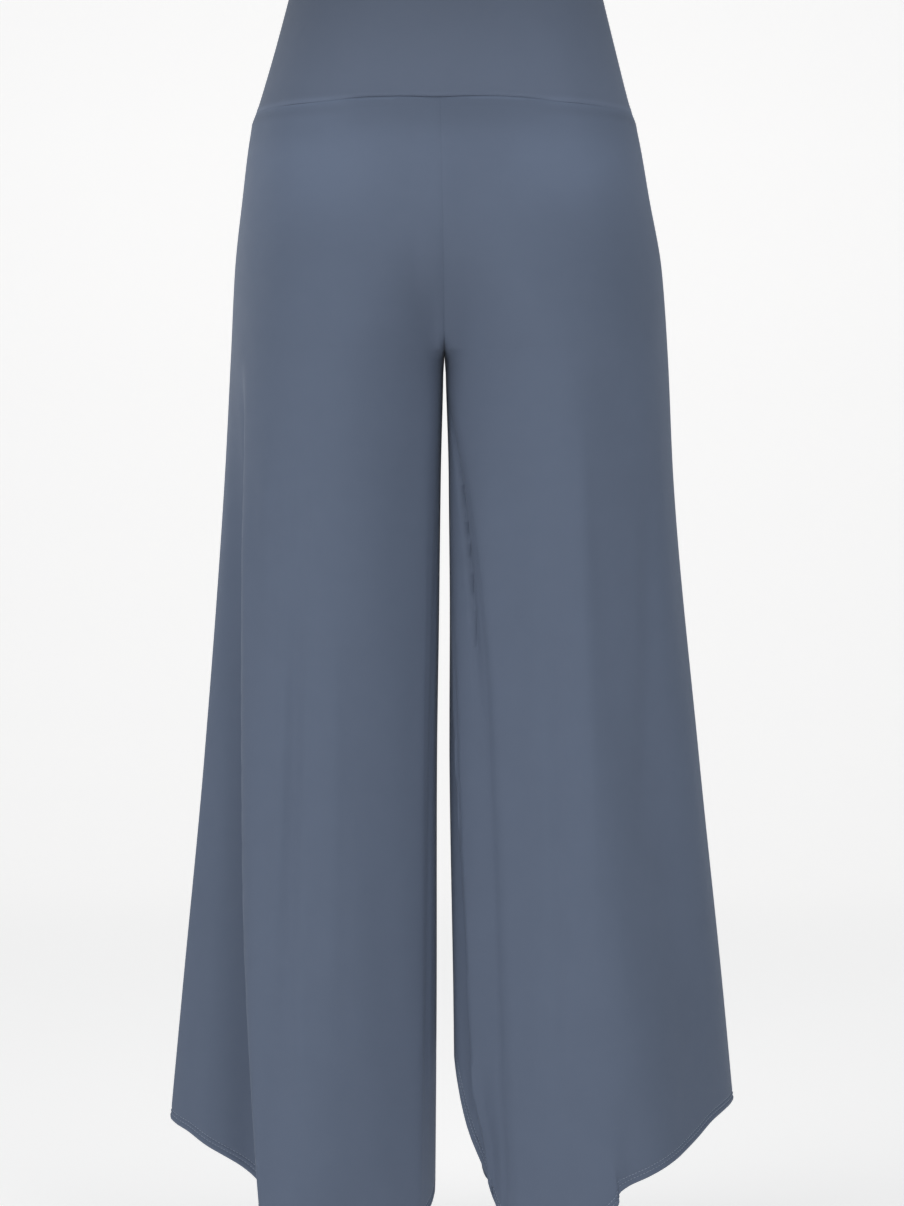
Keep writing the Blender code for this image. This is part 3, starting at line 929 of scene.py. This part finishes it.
# %% Relief of the hem and of the legs
STITCH_LINES = (4.5, 7.5)       # the twin needle's distances from the hem's edge
HEM_BUMPS = [
    Bump(2.4, 1.5, 0.5),        # over the fold of the edge
    Bump(6.0, 0.9, 0.4),        # the tunnel between the two lines
    *[Bump(line, 0.7, -0.45) for line in STITCH_LINES],
]
Pucker = namedtuple("Pucker", "length height")
PUCKERS = [Pucker(9.0, 0.12), Pucker(5.7, 0.08)]
PUCKER_REACH = Bump(6.0, 4.0, 1.0)
BELOW_WAIST = Bump(7.0, 4.0, 0.4)
WAVES = 7
WAVE_HEIGHT = 0.5
WAVE_ACROSS = (45.0, 110.0)     # the shortest and the longest wave, across
WAVE_DOWN = (120.0, 420.0)      # and down
CALM_WITHIN = 25.0      # waves fade this near a seam or the hem, and creases near a seam


def slow_waves(across, down, seed):
    """Waves of a height of 1 at most, a hand's breadth long, as handled cloth has."""
    dice = np.random.default_rng(seed)
    height = np.zeros(across.shape)
    for _ in range(WAVES):
        turn_across = 2.0 * math.pi / dice.uniform(*WAVE_ACROSS)
        turn_down = 2.0 * math.pi / dice.uniform(*WAVE_DOWN) * dice.choice([-1.0, 1.0])
        start = dice.uniform(0.0, 2.0 * math.pi)
        height += np.sin(turn_across * across + turn_down * down + start)
    return height / WAVES


def hem_relief(margin, across):
    """The twin needle's two lines, the tunnel between them and small puckers."""
    puckered = sum(wave.height * np.sin(2.0 * math.pi * across / wave.length) for wave in PUCKERS)
    return bumps(margin, *HEM_BUMPS) + puckered * bumps(margin, PUCKER_REACH)


def leg_relief(leg, points, across, angle, seed):
    """The relief of a leg panel, in millimetres outwards."""
    down = -points[..., 2]
    centre, side = centre_distance(points), side_distance(points)
    away = ease(np.minimum(centre, side) / CALM_WITHIN)
    waist = down - WAIST_SEAM
    margin = HEM_LOWEST - np.array(LEG_LEVELS)[:, None] + 0.0 * across
    relief = roll(side, ROLL_DEPTH) + bumps(side, OVER_ALLOWANCE)
    relief += roll(centre, FLAT_ROLL_DEPTH) + bumps(centre, OVER_FLAT_ALLOWANCE)
    relief += roll(waist, waist_groove(points)) + bumps(waist, BELOW_WAIST)
    relief += waist_ridge(points, waist) + hem_relief(margin, across)
    waves = WAVE_HEIGHT * slow_waves(across, down, seed) * ease(margin / CALM_WITHIN)
    return relief + (waves + crease_relief(leg, angle, down) + hip_relief(points)) * away


print("the hem's needle lines lie", STITCH_LINES, "mm from its edge")

# %% [markdown]
# ## Turning the edges in
#
# On a real garment the cloth doesn't stop at a seam. It turns in as an allowance, and
# at the hem it folds up and is sewn down. So the grid goes on as the cloth does: two
# extra columns turn in at each long seam, two extra rows at the waist seam, and the
# hem's last rows are repeated on the inside. That closes the seams to the eye from
# every side, and gives the hem its real double thickness. Each point carries its
# place on the flat cloth with it, for the knit.

# %% Seam allowances and the turned hem
ALLOWANCE_STEPS = (2.2, 4.8)    # how far a seam allowance reaches in
SMOOTHED_ROWS = 7               # of the directions in which it does
TURN_UP = 11.0                  # the height of the turned-up hem


def on_flat_cloth(points, across):
    """Points of a grid with their two places on the flat cloth: across and down."""
    return np.concatenate([points, across[..., None], -points[..., 2:3]], axis=-1)


def square_to(cloth, outward_sign):
    """Square to the cloth at each point of a grid, pointing out of the garment."""
    down = np.gradient(cloth[..., :3], axis=0)
    across = np.gradient(cloth[..., :3], axis=1)
    normals = np.cross(down, across) * outward_sign
    return normals / np.maximum(np.linalg.norm(normals, axis=-1, keepdims=True), 1e-9)


def turning_in(normals, in_centre_seam):
    """The direction in which an edge's allowance goes: inwards, in the seam's plane."""
    inwards = -normals
    inwards[in_centre_seam, 0] = 0.0
    inwards[~in_centre_seam, 1] = 0.0
    for axis in range(3):
        inwards[:, axis] = smoothed(inwards[:, axis], SMOOTHED_ROWS)
    return inwards / np.linalg.norm(inwards, axis=1, keepdims=True)


def with_side_allowances(cloth, normals, facing, kept):
    """Turn the first and the last column of a leg panel in. kept is how much of the
    allowance is left in each row, because it tapers off above the hem."""
    sides = {}
    for edge in (0, -1):
        line = cloth[:, edge]
        is_side_seam = (edge == -1) == (facing == "front")
        in_centre_seam = (-line[:, 2] < CROTCH) & (not is_side_seam)
        inwards = turning_in(normals[:, edge], in_centre_seam)
        past_edge = -1.0 if edge == 0 else 1.0
        sides[edge] = []
        for step in ALLOWANCE_STEPS:
            turned = line.copy()
            turned[:, :3] += inwards * (step * kept)[:, None]
            turned[:, 3] += past_edge * step
            sides[edge].append(turned)
    cloth = np.concatenate([np.stack(sides[0][::-1], axis=1), cloth,
                            np.stack(sides[-1], axis=1)], axis=1)
    more = len(ALLOWANCE_STEPS)
    normals = np.concatenate([normals[:, :1]] * more + [normals] + [normals[:, -1:]] * more, axis=1)
    return cloth, normals


def with_waist_allowance(cloth, normals, edge, steps):
    """Turn the first (0) or last (-1) row in, level with the waist seam."""
    inwards = -normals[edge]
    inwards[:, 2] = 0.0
    inwards /= np.linalg.norm(inwards, axis=1, keepdims=True)
    extra = []
    for step in steps:
        turned = cloth[edge].copy()
        turned[:, :3] += inwards * step
        turned[:, 4] += step if edge == -1 else -step
        extra.append(turned)
    parts = [np.array(extra[::-1]), cloth] if edge == 0 else [cloth, np.array(extra)]
    return np.concatenate(parts, axis=0)


def fold_sink(margin, radius):
    """How far round cloth has sunk at a distance from the edge where it folds over."""
    share = np.clip(1.0 - margin / radius, 0.0, 1.0)
    return radius * (1.0 - np.sqrt(1.0 - share * share))


def folded_back(cloth, normals, margins, radius, reach):
    """The layer behind a folded edge: the rows within reach, offset to the inside."""
    rows = [row for row in range(len(margins)) if 0.0 < margins[row] <= reach]
    back = cloth[rows].copy()
    inwards = 2.0 * (radius - fold_sink(margins[rows], radius))
    back[..., :3] -= normals[rows] * inwards[:, None, None]
    back[..., 4] += 2.0 * margins[rows][:, None]
    return back


def lean(cloth):
    """Slant the front of the hips sideways a little, seam and all."""
    height = np.maximum(0.0, 1.0 + cloth[..., 2] / CROTCH)
    forward = np.clip(-cloth[..., 1] / LEVELS[0].front, 0.0, 1.0)
    cloth[..., 0] -= SEAM_LEAN * ease(height) * ease(forward)
    return cloth


print("the turned hem is", TURN_UP, "mm high")

# %% [markdown]
# ## From points to cloth
#
# Blender's grid primitive makes the rows and columns of faces, and its corners are
# then moved to their places, as cloth is laid on a form. The flat cloth's own
# measures become the UV map, in metres, so that one pattern fits every piece at true
# scale. Painted light and shade go into an attribute that the material reads: it
# lightens the hips and the left side and darkens the crotch, the flares and the
# waistband's top. A Solidify modifier gives the cloth its thickness, inwards from the face.

# %% Lay a grid as cloth
JERSEY_THICKNESS = 0.7
BAND_THICKNESS = 0.9
SEAM_CORNER = math.radians(60.0)    # cloth that turns more sharply is pressed to a crisp edge

BAND_PAINTED_LIGHT = 0.45         # painted light on the waistband where it meets the hips; its top is in painted shade
LEG_PAINTED_LIGHT = 0.20      # painted light on the legs below the hips
HIP_PAINTED_LIGHT = 0.40          # painted light on the hips, and as much again in a painted highlight where they are fullest
LEFT_PAINTED_LIGHT = 0.28         # more painted light on the left side
# the painted highlight on each hip
HIP_HIGHLIGHT_SPOT = Spot(112.0, 165.0, 62.0, 62.0, 1.0)
TO_THE_LEFT = Onset(0.0, 110.0)
BELOW_HIPS = Onset(WAIST_SEAM + 40.0, 150.0)
FLARE_SIDE = Onset(120.0, 90.0)
FLARE_DROP = Onset(650.0, 300.0)
RIGHT_FLARE_SHADE = 0.4     # the right flare's share of painted shade; the left flare is in full painted shade

# painted shade at the crotch and beside the left inseam, where the legs shade each other
PAINTED_SHADE_SPOTS = [
    Spot(0.0, 265.0, 50.0, 50.0, 0.24),     # above the crotch
    Spot(-1.0, 318.0, 17.0, 42.0, 0.26),    # where the inseams meet
    Spot(20.0, 455.0, 13.0, 85.0, 0.20),    # beside the left inseam
]
# painted shade in a band below the waist seam, in the middle and at the sides
SHADE_BELOW_WAIST = Bump(WAIST_SEAM + 8.0, 18.0, 0.40)      # in the middle
SIDE_SHADE_BELOW_WAIST = Bump(WAIST_SEAM + 18.0, 16.0, 0.20)
# a painted highlight just above the waist seam at the sides, and painted shade below it
RIDGE_HIGHLIGHT_AND_SHADE = [Bump(WAIST_SEAM - 1.8, 2.6, 0.45), Bump(WAIST_SEAM + 6.5, 4.5, -0.3)]


def painted_shade_of(cloth):
    """How much painted shade darkens the cloth: at the crotch, beside the left inseam and below the
    waist seam.
    """
    down, at_side = -cloth[..., 2], towards_side(cloth)
    slack = sum(spot_height(cloth[..., 0], down, spot) for spot in PAINTED_SHADE_SPOTS)
    slack += (1.0 - at_side) * bumps(down, SHADE_BELOW_WAIST)
    return slack + at_side * bumps(down, SIDE_SHADE_BELOW_WAIST)


def painted_light_of(cloth):
    """The share of painted light on the cloth, from 0 in the painted shade on the flares
    to about 1 in the painted highlights on the hips."""
    across, down = np.abs(cloth[..., 0]), -cloth[..., 2]
    on_left = sets_in(cloth[..., 0], TO_THE_LEFT)
    on_band = BAND_PAINTED_LIGHT * ease(down / WAIST_SEAM) + LEFT_PAINTED_LIGHT * on_left
    highlight_on_hip = spot_height(across, down, HIP_HIGHLIGHT_SPOT)
    at_hip = HIP_PAINTED_LIGHT + (HIP_PAINTED_LIGHT + LEFT_PAINTED_LIGHT * on_left) * highlight_on_hip
    flare_shade = RIGHT_FLARE_SHADE + (1.0 - RIGHT_FLARE_SHADE) * on_left
    flare_shade *= sets_in(across, FLARE_SIDE) * sets_in(down, FLARE_DROP)
    leg_light = LEG_PAINTED_LIGHT * (1.0 - flare_shade)
    on_leg = at_hip + (leg_light - at_hip) * sets_in(down, BELOW_HIPS) - painted_shade_of(cloth)
    ridge_highlight_and_shade = towards_side(cloth) * bumps(down, *RIDGE_HIGHLIGHT_AND_SHADE)
    return np.maximum(np.where(down < WAIST_SEAM, on_band, on_leg) + ridge_highlight_and_shade, 0.0)


def lay_cloth(name, cloth, thickness, outward_sign):
    """Make one sheet of cloth from its grid of places and flat measures."""
    if outward_sign < 0.0:
        cloth = cloth[:, ::-1]
    rows, columns = cloth.shape[0] - 1, cloth.shape[1] - 1
    grid = bmesh.new()
    bmesh.ops.create_grid(grid, x_segments=columns, y_segments=rows, size=0.5)
    mesh = bpy.data.meshes.new(name)
    grid.to_mesh(mesh)
    grid.free()
    flat = np.zeros(len(mesh.vertices) * 3)
    mesh.vertices.foreach_get("co", flat)
    flat = flat.reshape(-1, 3)
    column = np.rint((flat[:, 0] + 0.5) * columns).astype(int)
    row = np.rint((0.5 - flat[:, 1]) * rows).astype(int)
    placed = cloth[row, column]
    mesh.vertices.foreach_set("co", (placed[:, :3] * MM).ravel())
    corners = np.zeros(len(mesh.loops), dtype=int)
    mesh.loops.foreach_get("vertex_index", corners)
    cloth_uv = mesh.uv_layers.new(name="cloth")
    cloth_uv.uv.foreach_set("vector", (placed[corners][:, 3:5] * MM).ravel())
    # the attribute carries painted light and shade, which the jersey's material reads
    stretched = mesh.attributes.new("stretch", "FLOAT", "POINT")
    stretched.data.foreach_set("value", painted_light_of(placed))
    mesh.update()
    mesh.shade_smooth()
    mesh.set_sharp_from_angle(angle=SEAM_CORNER)
    piece = bpy.data.objects.new(name, mesh)
    scene.collection.objects.link(piece)
    wall = piece.modifiers.new("jersey thickness", "SOLIDIFY")
    wall.thickness = thickness * MM
    wall.offset = -1.0
    wall.use_rim = True
    return piece


def cut_of(cloth):
    """What a grid of cloth is cut from: the width and length of its flat measures,
    and its area."""
    width, length = np.ptp(cloth[..., 3]) * MM, np.ptp(cloth[..., 4]) * MM
    points = cloth[..., :3] * MM
    twice = np.cross(points[1:, 1:] - points[:-1, :-1], points[1:, :-1] - points[:-1, 1:])
    area = 0.5 * np.linalg.norm(twice, axis=-1).sum()
    return f"{width:.3f} m wide, {length:.3f} m long, {area:.3f} m2"


print("the jersey is", JERSEY_THICKNESS, "mm thick, and", BAND_THICKNESS, "mm in the waistband")

# %% [markdown]
# ## The four leg panels
#
# Now the steps come together for each panel: lay it out, add the relief, keep it on
# its own side of the seams, turn its edges in, fold up its hem and make the mesh.

# %% Sew the leg panels
HEM_ALLOWANCE = 0.06                # the share of the allowances left at the hem's edge
ALLOWANCE_GROWS = Onset(2.0, 14.0)  # at distances from the hem's edge
FIRST_SEED = 11                     # of the waves, which differ in each panel


def beyond(values, sign, limit):
    """Keep values on their own side of a seam."""
    return sign * np.maximum(sign * values, limit)


pieces = {}
hem_lines = {}
hem_margins = HEM_LOWEST - np.array(LEG_LEVELS)
kept_allowance = HEM_ALLOWANCE + (1.0 - HEM_ALLOWANCE) * sets_in(hem_margins, ALLOWANCE_GROWS)

for number, (leg, facing) in enumerate(layout):
    points, across, angle = layout[leg, facing]
    down = -points[..., 2]
    side, face = SIDE_SIGN[leg], FACING_SIGN[facing]

    ease_folds(leg, points, angle, down)
    points[..., 0] += side * (lap_shift(leg, angle, down) + parting_shift(leg, angle, down))
    points[..., 1] -= forward_fullness(leg, points, angle, down)

    cloth = on_flat_cloth(points, across)
    normals = square_to(cloth, side)
    relief = leg_relief(leg, points, across, angle, FIRST_SEED + number)
    relief -= fold_sink(hem_margins, TURN_RADIUS)[:, None]
    cloth[..., :3] += steered(normals, points) * relief[..., None]

    inseam = (read_column(LEVELS, "drop", leg + "_inside", down)
              + read_column(PARTINGS, "drop", leg, down))
    cloth[..., 0] = beyond(cloth[..., 0], side, np.maximum(inseam, HALF_GAP))
    cloth[..., 1] = beyond(cloth[..., 1], face, HALF_GAP)
    cloth[..., 2] = beyond(cloth[..., 2], -1.0, WAIST_SEAM + HALF_GAP) - waist_sag(points)

    for line in STITCH_LINES:
        row = int(np.argmin(np.abs(hem_margins - line)))
        hem_lines[leg, facing, line] = (lean(cloth[row].copy())[:, :3], normals[row])
    cloth, normals = with_side_allowances(cloth, normals, facing, kept_allowance)
    turned_hem = folded_back(cloth, normals, hem_margins, TURN_RADIUS, TURN_UP)
    cloth = np.concatenate([cloth, turned_hem[::-1]], axis=0)
    cloth = lean(with_waist_allowance(cloth, normals, 0, ALLOWANCE_STEPS))

    name = f"{facing}_{leg}_panel"
    pieces[name] = lay_cloth(name, cloth, JERSEY_THICKNESS, side)
    print(name, cloth.shape[0], "x", cloth.shape[1], "points, the cut is", cut_of(cloth))

# %% [markdown]
# ## The waistband
#
# The waistband is deep and shaped to the body, wider below than above. It is cut
# double and folded at its top edge, so there is no seam there, only a soft round
# fold. The inner layer goes down to the waist seam again. At the sides the cloth
# stands out in a low ridge over the seam's allowances and catches the light, with a
# painted highlight just above the seam, and in the middle of the front the seam lies
# in. Towards its top edge the band is painted in shade.

# %% Sew the waistband
BAND_COLUMNS = 110
BAND_ROWS = 21
BAND_FOLD_RADIUS = 1.15
BELOW_FOLD_STEPS = [2.2, 3.6, 5.5, 8.0, 11.0]       # distances from the top fold
ABOVE_WAIST_STEPS = [14.0, 10.0]                    # distances from the waist seam
BAND_ALLOWANCE_STEPS = (1.6,)
BAND_OVER_ALLOWANCE = Bump(4.0, 2.5, 0.3)           # beside a side seam
ABOVE_GROOVE = Bump(3.0, 1.6, 0.4)                  # in the middle of the front and back
ABOVE_WAIST = Bump(5.0, 2.6, 0.3)
BAND_WAVE_HEIGHT = 0.35
BAND_CALM_WITHIN = 20.0
BAND_SEED = 5


def band_form(facing, share, drop):
    """Points on the outside of the waistband, from the right side to the left."""
    away = np.abs(2.0 * share - 1.0)
    angle = 90.0 + 90.0 * away
    if facing == "back":
        angle = 360.0 - angle
    right = ring("right", angle, drop)
    left = ring("left", angle, drop)
    x = np.where(share < 0.5, -right[0], left[0])
    y = np.where(share < 0.5, right[1], left[1])
    return np.stack([x, y, -drop + 0.0 * x], axis=-1)


def band_levels():
    """The rows of the waistband, from its top fold to the waist seam."""
    levels = rows_round_fold(BAND_FOLD_RADIUS)[::-1] + BELOW_FOLD_STEPS
    levels += rows_after(levels[-1], WAIST_SEAM - ABOVE_WAIST_STEPS[0], BAND_ROWS)
    levels += [WAIST_SEAM - step for step in ABOVE_WAIST_STEPS[1:] + EDGE_STEPS[::-1]]
    return np.array(levels)


def band_relief(points, across):
    """Relief of the waistband: its seams, and the ridge over the waist seam."""
    side = side_distance(points)
    waist = WAIST_SEAM + points[..., 2]
    relief = roll(side, ROLL_DEPTH) + bumps(side, BAND_OVER_ALLOWANCE)
    relief += roll(waist, waist_groove(points)) + waist_ridge(points, -waist)
    relief += (1.0 - towards_side(points)) * bumps(waist, ABOVE_GROOVE) + bumps(waist, ABOVE_WAIST)
    waves = BAND_WAVE_HEIGHT * slow_waves(across, -points[..., 2], BAND_SEED)
    return relief + waves * ease(side / BAND_CALM_WITHIN)


for facing, face in FACING_SIGN.items():
    margins = band_levels()
    rows = [lay_row(lambda share: band_form(facing, share, level), 0.0, 1.0, BAND_COLUMNS)
            for level in margins]
    points, across, _ = [np.array(part) for part in zip(*rows)]

    cloth = on_flat_cloth(points, across)
    normals = square_to(cloth, -face)
    relief = band_relief(points, across) - fold_sink(margins, BAND_FOLD_RADIUS)[:, None]
    cloth[..., :3] += normals * relief[..., None]
    cloth[..., 1] = beyond(cloth[..., 1], face, HALF_GAP)
    cloth[..., 2] = beyond(cloth[..., 2], 1.0, HALF_GAP - WAIST_SEAM) - waist_sag(points)

    inner_layer = folded_back(cloth, normals, margins, BAND_FOLD_RADIUS, WAIST_SEAM)
    inner_layer[..., 4] -= 4.0 * margins[1:][:, None]       # on the flat cloth it goes up
    inner_layer[..., 1] = beyond(inner_layer[..., 1], face, HALF_GAP)
    cloth = with_waist_allowance(cloth, normals, -1, BAND_ALLOWANCE_STEPS)
    cloth = lean(np.concatenate([inner_layer[::-1], cloth], axis=0))

    name = f"{facing}_waistband"
    pieces[name] = lay_cloth(name, cloth, BAND_THICKNESS, -face)
    print(name, cloth.shape[0], "x", cloth.shape[1], "points, the cut is", cut_of(cloth))

# %% [markdown]
# ## Twin-needle stitches
#
# Two parallel rows of stitches hold the turned hem. A row could be drawn in the
# material, but then it wouldn't catch the light. Each stitch is one small bead of
# thread, stretched along the row and pressed into the cloth, and all the stitches of
# a panel are one mesh.

# %% Sew the hem stitches
STITCH_PITCH = 3.0
STITCH_LENGTH = 2.5
STITCH_WIDTH = 0.55
STITCH_HEIGHT = 0.42
UNSEWN_END = 1.0        # of each row, beside a seam


def read_along(run, distance, values):
    """Read three columns of values at a distance along a line."""
    return np.array([np.interp(distance, run, values[:, axis]) for axis in range(3)])


def sew_row(thread, line, normals):
    """Add one row of stitches along a line on the cloth."""
    run = run_along(line)
    count = int((run[-1] - 2.0 * UNSEWN_END) / STITCH_PITCH)
    for number in range(count):
        middle = UNSEWN_END + (number + 0.5) * STITCH_PITCH
        first = read_along(run, middle - 0.5 * STITCH_LENGTH, line)
        last = read_along(run, middle + 0.5 * STITCH_LENGTH, line)
        square = Vector(read_along(run, middle, normals)).normalized()
        along = Vector(last - first).normalized()
        aside = square.cross(along).normalized()
        place = Matrix((along, aside, along.cross(aside))).transposed().to_4x4()
        place.translation = Vector(0.5 * (first + last)) * MM
        size = Matrix.Diagonal((STITCH_LENGTH, STITCH_WIDTH, STITCH_HEIGHT, 1.0))
        bmesh.ops.create_icosphere(thread, subdivisions=1, radius=0.5 * MM, matrix=place @ size)
    return count


stitches = {}
for leg in SIDE_SIGN:
    for facing in FACING_SIGN:
        thread = bmesh.new()
        count = 0
        for line in STITCH_LINES:
            count += sew_row(thread, *hem_lines[leg, facing, line])
        name = f"{facing}_{leg}_hem_stitches"
        thread_mesh = bpy.data.meshes.new(name)
        thread.to_mesh(thread_mesh)
        thread.free()
        thread_mesh.shade_smooth()
        stitches[name] = bpy.data.objects.new(name, thread_mesh)
        scene.collection.objects.link(stitches[name])
        print(name, count, "stitches,", len(thread_mesh.polygons), "faces")

# %% [markdown]
# ## Jersey
#
# The cloth is a single jersey in a matt yarn with a faint sheen. Its face shows fine
# columns of V-shaped stitches, about fourteen to the centimetre. The pattern reads
# the flat cloth's UV map, so the columns run down each piece as they were knitted. A
# column is a saw of two slanting legs: the distance from the middle of the column
# shifts the rows, which bends them into Vs. The height drives a shallow bump and
# paints shade into the hollows. The mesh's attribute of painted light and shade makes
# the dye lighter or darker, and a slow mottle keeps the dye from looking like paint.

# %% Knit the jersey material
WALE = 0.00072          # width of one column of stitches, in metres
COURSE = 0.00056        # height of one stitch
V_SLANT = 1.4           # how steeply the two legs of a V run down to its point
MOTTLE_SCALE = 22.0     # spots to the metre
PATCH_SCALE = 90.0
FUZZ_SCALE = 1800.0
MOTTLE = 1.08           # how light the mottle is at most
KNIT_HOLLOW_SHADE = 0.80          # painted shade: how dark the cloth is between the stitches
MATT = 0.74             # the least roughness
MATT_CHANGE = 0.12      # and what patches add to it
FUZZ = 0.5              # the height of stray fibres, against that of the stitches
KNIT_STRENGTH = 0.5
KNIT_DEPTH = 0.00008    # in metres
SHEEN_TINT = (0.80, 0.88, 1.0, 1.0)
MIX_FIRST, MIX_SECOND, MIX_RESULT = 6, 7, 2     # a Mix node's sockets for colours

# the dye's own colour, and how dark it is in full painted shade and how light in full painted light
DyeAndPaintedLight = namedtuple("DyeAndPaintedLight", "colour slack stretched")
LEG_DYE_AND_LIGHT = DyeAndPaintedLight((0.1055, 0.134, 0.196), 0.85, 1.20)
BAND_DYE_AND_LIGHT = DyeAndPaintedLight((0.103, 0.128, 0.184), 0.765, 1.29)


def add_node(tree, kind, inputs):
    """Add a shader node and feed its inputs."""
    node = tree.nodes.new("ShaderNode" + kind)
    feed(tree, node, inputs)
    return node


def calculate(tree, operation, *values):
    """The output of a Math node, of plain numbers and outputs of other nodes."""
    node = add_node(tree, "Math", dict(enumerate(values)))
    node.operation = operation
    return node.outputs["Value"]


def own_space(tree):
    """Places in the space of the object itself."""
    return add_node(tree, "TexCoord", {}).outputs["Object"]


def noise(tree, scale, detail):
    """A Noise texture in the cloth's own space."""
    inputs = {"Vector": own_space(tree), "Scale": scale, "Detail": detail}
    return add_node(tree, "TexNoise", inputs).outputs["Fac"]


def mix_colour(tree, factor, first, second):
    """Mix two colours, each a plain colour or the output of a node."""
    node = tree.nodes.new("ShaderNodeMix")
    node.data_type = "RGBA"
    feed(tree, node, {"Factor": factor, MIX_FIRST: first, MIX_SECOND: second})
    return node.outputs[MIX_RESULT]


def shade(colour, factor):
    """A plain colour made darker or lighter by a factor."""
    return (*(channel * factor for channel in colour), 1.0)


def reshade(tree, colour, factor):
    """The colour that a node puts out, made darker or lighter by a factor."""
    return add_node(tree, "HueSaturation", {"Color": colour, "Value": factor}).outputs["Color"]


def raised(tree, height, strength, distance):
    """The normals of a surface with a fine relief."""
    inputs = {"Height": height, "Strength": strength, "Distance": distance}
    return add_node(tree, "Bump", inputs).outputs["Normal"]


def knit_height(tree):
    """The height of the stitches, from 0 in the hollows to 1."""
    uv = tree.nodes.new("ShaderNodeUVMap")
    uv.uv_map = "cloth"
    split = add_node(tree, "SeparateXYZ", {"Vector": uv.outputs["UV"]})
    across = calculate(tree, "DIVIDE", split.outputs["X"], WALE)
    down = calculate(tree, "DIVIDE", split.outputs["Y"], COURSE)
    from_middle = calculate(tree, "PINGPONG", across, 0.5)
    slanted = calculate(tree, "MULTIPLY_ADD", from_middle, V_SLANT, down)
    rows = calculate(tree, "PINGPONG", slanted, 0.5)
    legs = calculate(tree, "SINE", calculate(tree, "MULTIPLY", from_middle, 2.0 * math.pi))
    return calculate(tree, "MULTIPLY", calculate(tree, "ADD", rows, 0.5), legs)


def make_jersey(name, dye_and_light):
    """A matt jersey with fine stitches, painted light and shade, a slow mottle and a faint sheen."""
    material, tree, shader = new_material(name)
    stitch_height = knit_height(tree)
    # painted light and shade from the mesh's attribute make the dye darker or lighter
    lit_and_shaded_dye = mix_colour(tree, read_attribute(tree, "stretch"), shade(dye_and_light.colour, dye_and_light.slack),
                      shade(dye_and_light.colour, dye_and_light.stretched))
    mottled = mix_colour(tree, noise(tree, MOTTLE_SCALE, 3.0), lit_and_shaded_dye, reshade(tree, lit_and_shaded_dye, MOTTLE))
    patches = noise(tree, PATCH_SCALE, 2.0)
    fuzzy = calculate(tree, "MULTIPLY_ADD", noise(tree, FUZZ_SCALE, 2.0), FUZZ, stitch_height)
    feed(tree, shader, {
        # painted shade in the hollows between the stitches
        "Base Color": mix_colour(tree, stitch_height, reshade(tree, mottled, KNIT_HOLLOW_SHADE), mottled),
        "Roughness": calculate(tree, "MULTIPLY_ADD", patches, MATT_CHANGE, MATT),
        "Normal": raised(tree, fuzzy, KNIT_STRENGTH, KNIT_DEPTH),
        "Specular IOR Level": 0.35,
        "Sheen Weight": 0.10,
        "Sheen Roughness": 0.4,
        "Sheen Tint": SHEEN_TINT,
    })
    return material


leg_jersey = make_jersey("slate_leg_jersey", LEG_DYE_AND_LIGHT)
band_jersey = make_jersey("slate_band_jersey", BAND_DYE_AND_LIGHT)
print("knit at", round(0.01 / WALE), "columns and", round(0.01 / COURSE), "rows to the centimetre")

# %% [markdown]
# ## Sewing thread
#
# The hem is sewn with a polyester thread in the cloth's own hue. It is smoother than
# the jersey and a few tones lighter. Two plies are twisted together, and fine
# slanting waves in object space are enough for that at this size: they raise a bump
# and paint shade between the plies.

# %% Twist the thread material
THREAD_COLOUR = (0.27, 0.31, 0.39)
PLY_GROOVE_SHADE = 0.8     # painted shade: how dark the thread is between the plies
TWIST_SCALE = 900.0
TWIST_STRENGTH = 0.4
TWIST_DEPTH = 0.00005   # in metres

thread_material, thread_tree, thread_shader = new_material("slate_thread")
plies = add_node(thread_tree, "TexWave", {"Scale": TWIST_SCALE, "Vector": own_space(thread_tree)})
plies.bands_direction = "DIAGONAL"
ply_height = plies.outputs["Fac"]
feed(thread_tree, thread_shader, {
    # painted shade between the plies
    "Base Color": mix_colour(thread_tree, ply_height, shade(THREAD_COLOUR, PLY_GROOVE_SHADE),
                             shade(THREAD_COLOUR, 1.0)),
    "Normal": raised(thread_tree, ply_height, TWIST_STRENGTH, TWIST_DEPTH),
    "Roughness": 0.5,
    "Sheen Weight": 0.1,
})
print("the thread is", THREAD_COLOUR)

# %% [markdown]
# ## Dress each sheet, attach it to the body and hide its solid
#
# Every sheet of cloth stands for one solid and rides on the garment's only body. For
# each one the lesson says how large its cut is: the rectangle that it is cut from and
# the area inside the cutting line. Both are the measures that were printed when the
# piece was sewn, with its turned hem and the allowances that are modelled, rounded up.

Cut = namedtuple("Cut", "piece node slot width length area")
CUTS = [
    Cut("front_waistband", "waistband_front", "waistband_jersey", 0.44, 0.25, 0.101),
    Cut("back_waistband", "waistband_back", "waistband_jersey", 0.44, 0.25, 0.101),
    Cut("front_right_panel", "front_right_leg", "leg_jersey", 0.39, 0.96, 0.323),
    Cut("front_left_panel", "front_left_leg", "leg_jersey", 0.39, 0.96, 0.303),
    Cut("back_right_panel", "back_right_leg", "leg_jersey", 0.40, 0.96, 0.325),
    Cut("back_left_panel", "back_left_leg", "leg_jersey", 0.40, 0.96, 0.320),
]

for piece in stitches.values():
    piece.data.materials.append(thread_material)
    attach(piece, "root")

for cut in CUTS:
    piece = pieces[cut.piece]
    is_band = cut.slot == "waistband_jersey"
    piece.data.materials.append(band_jersey if is_band else leg_jersey)
    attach(piece, "root")
    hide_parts(cut.node)
print("declared", len(CUTS), "sheets and", len(stitches), "rows of stitches")
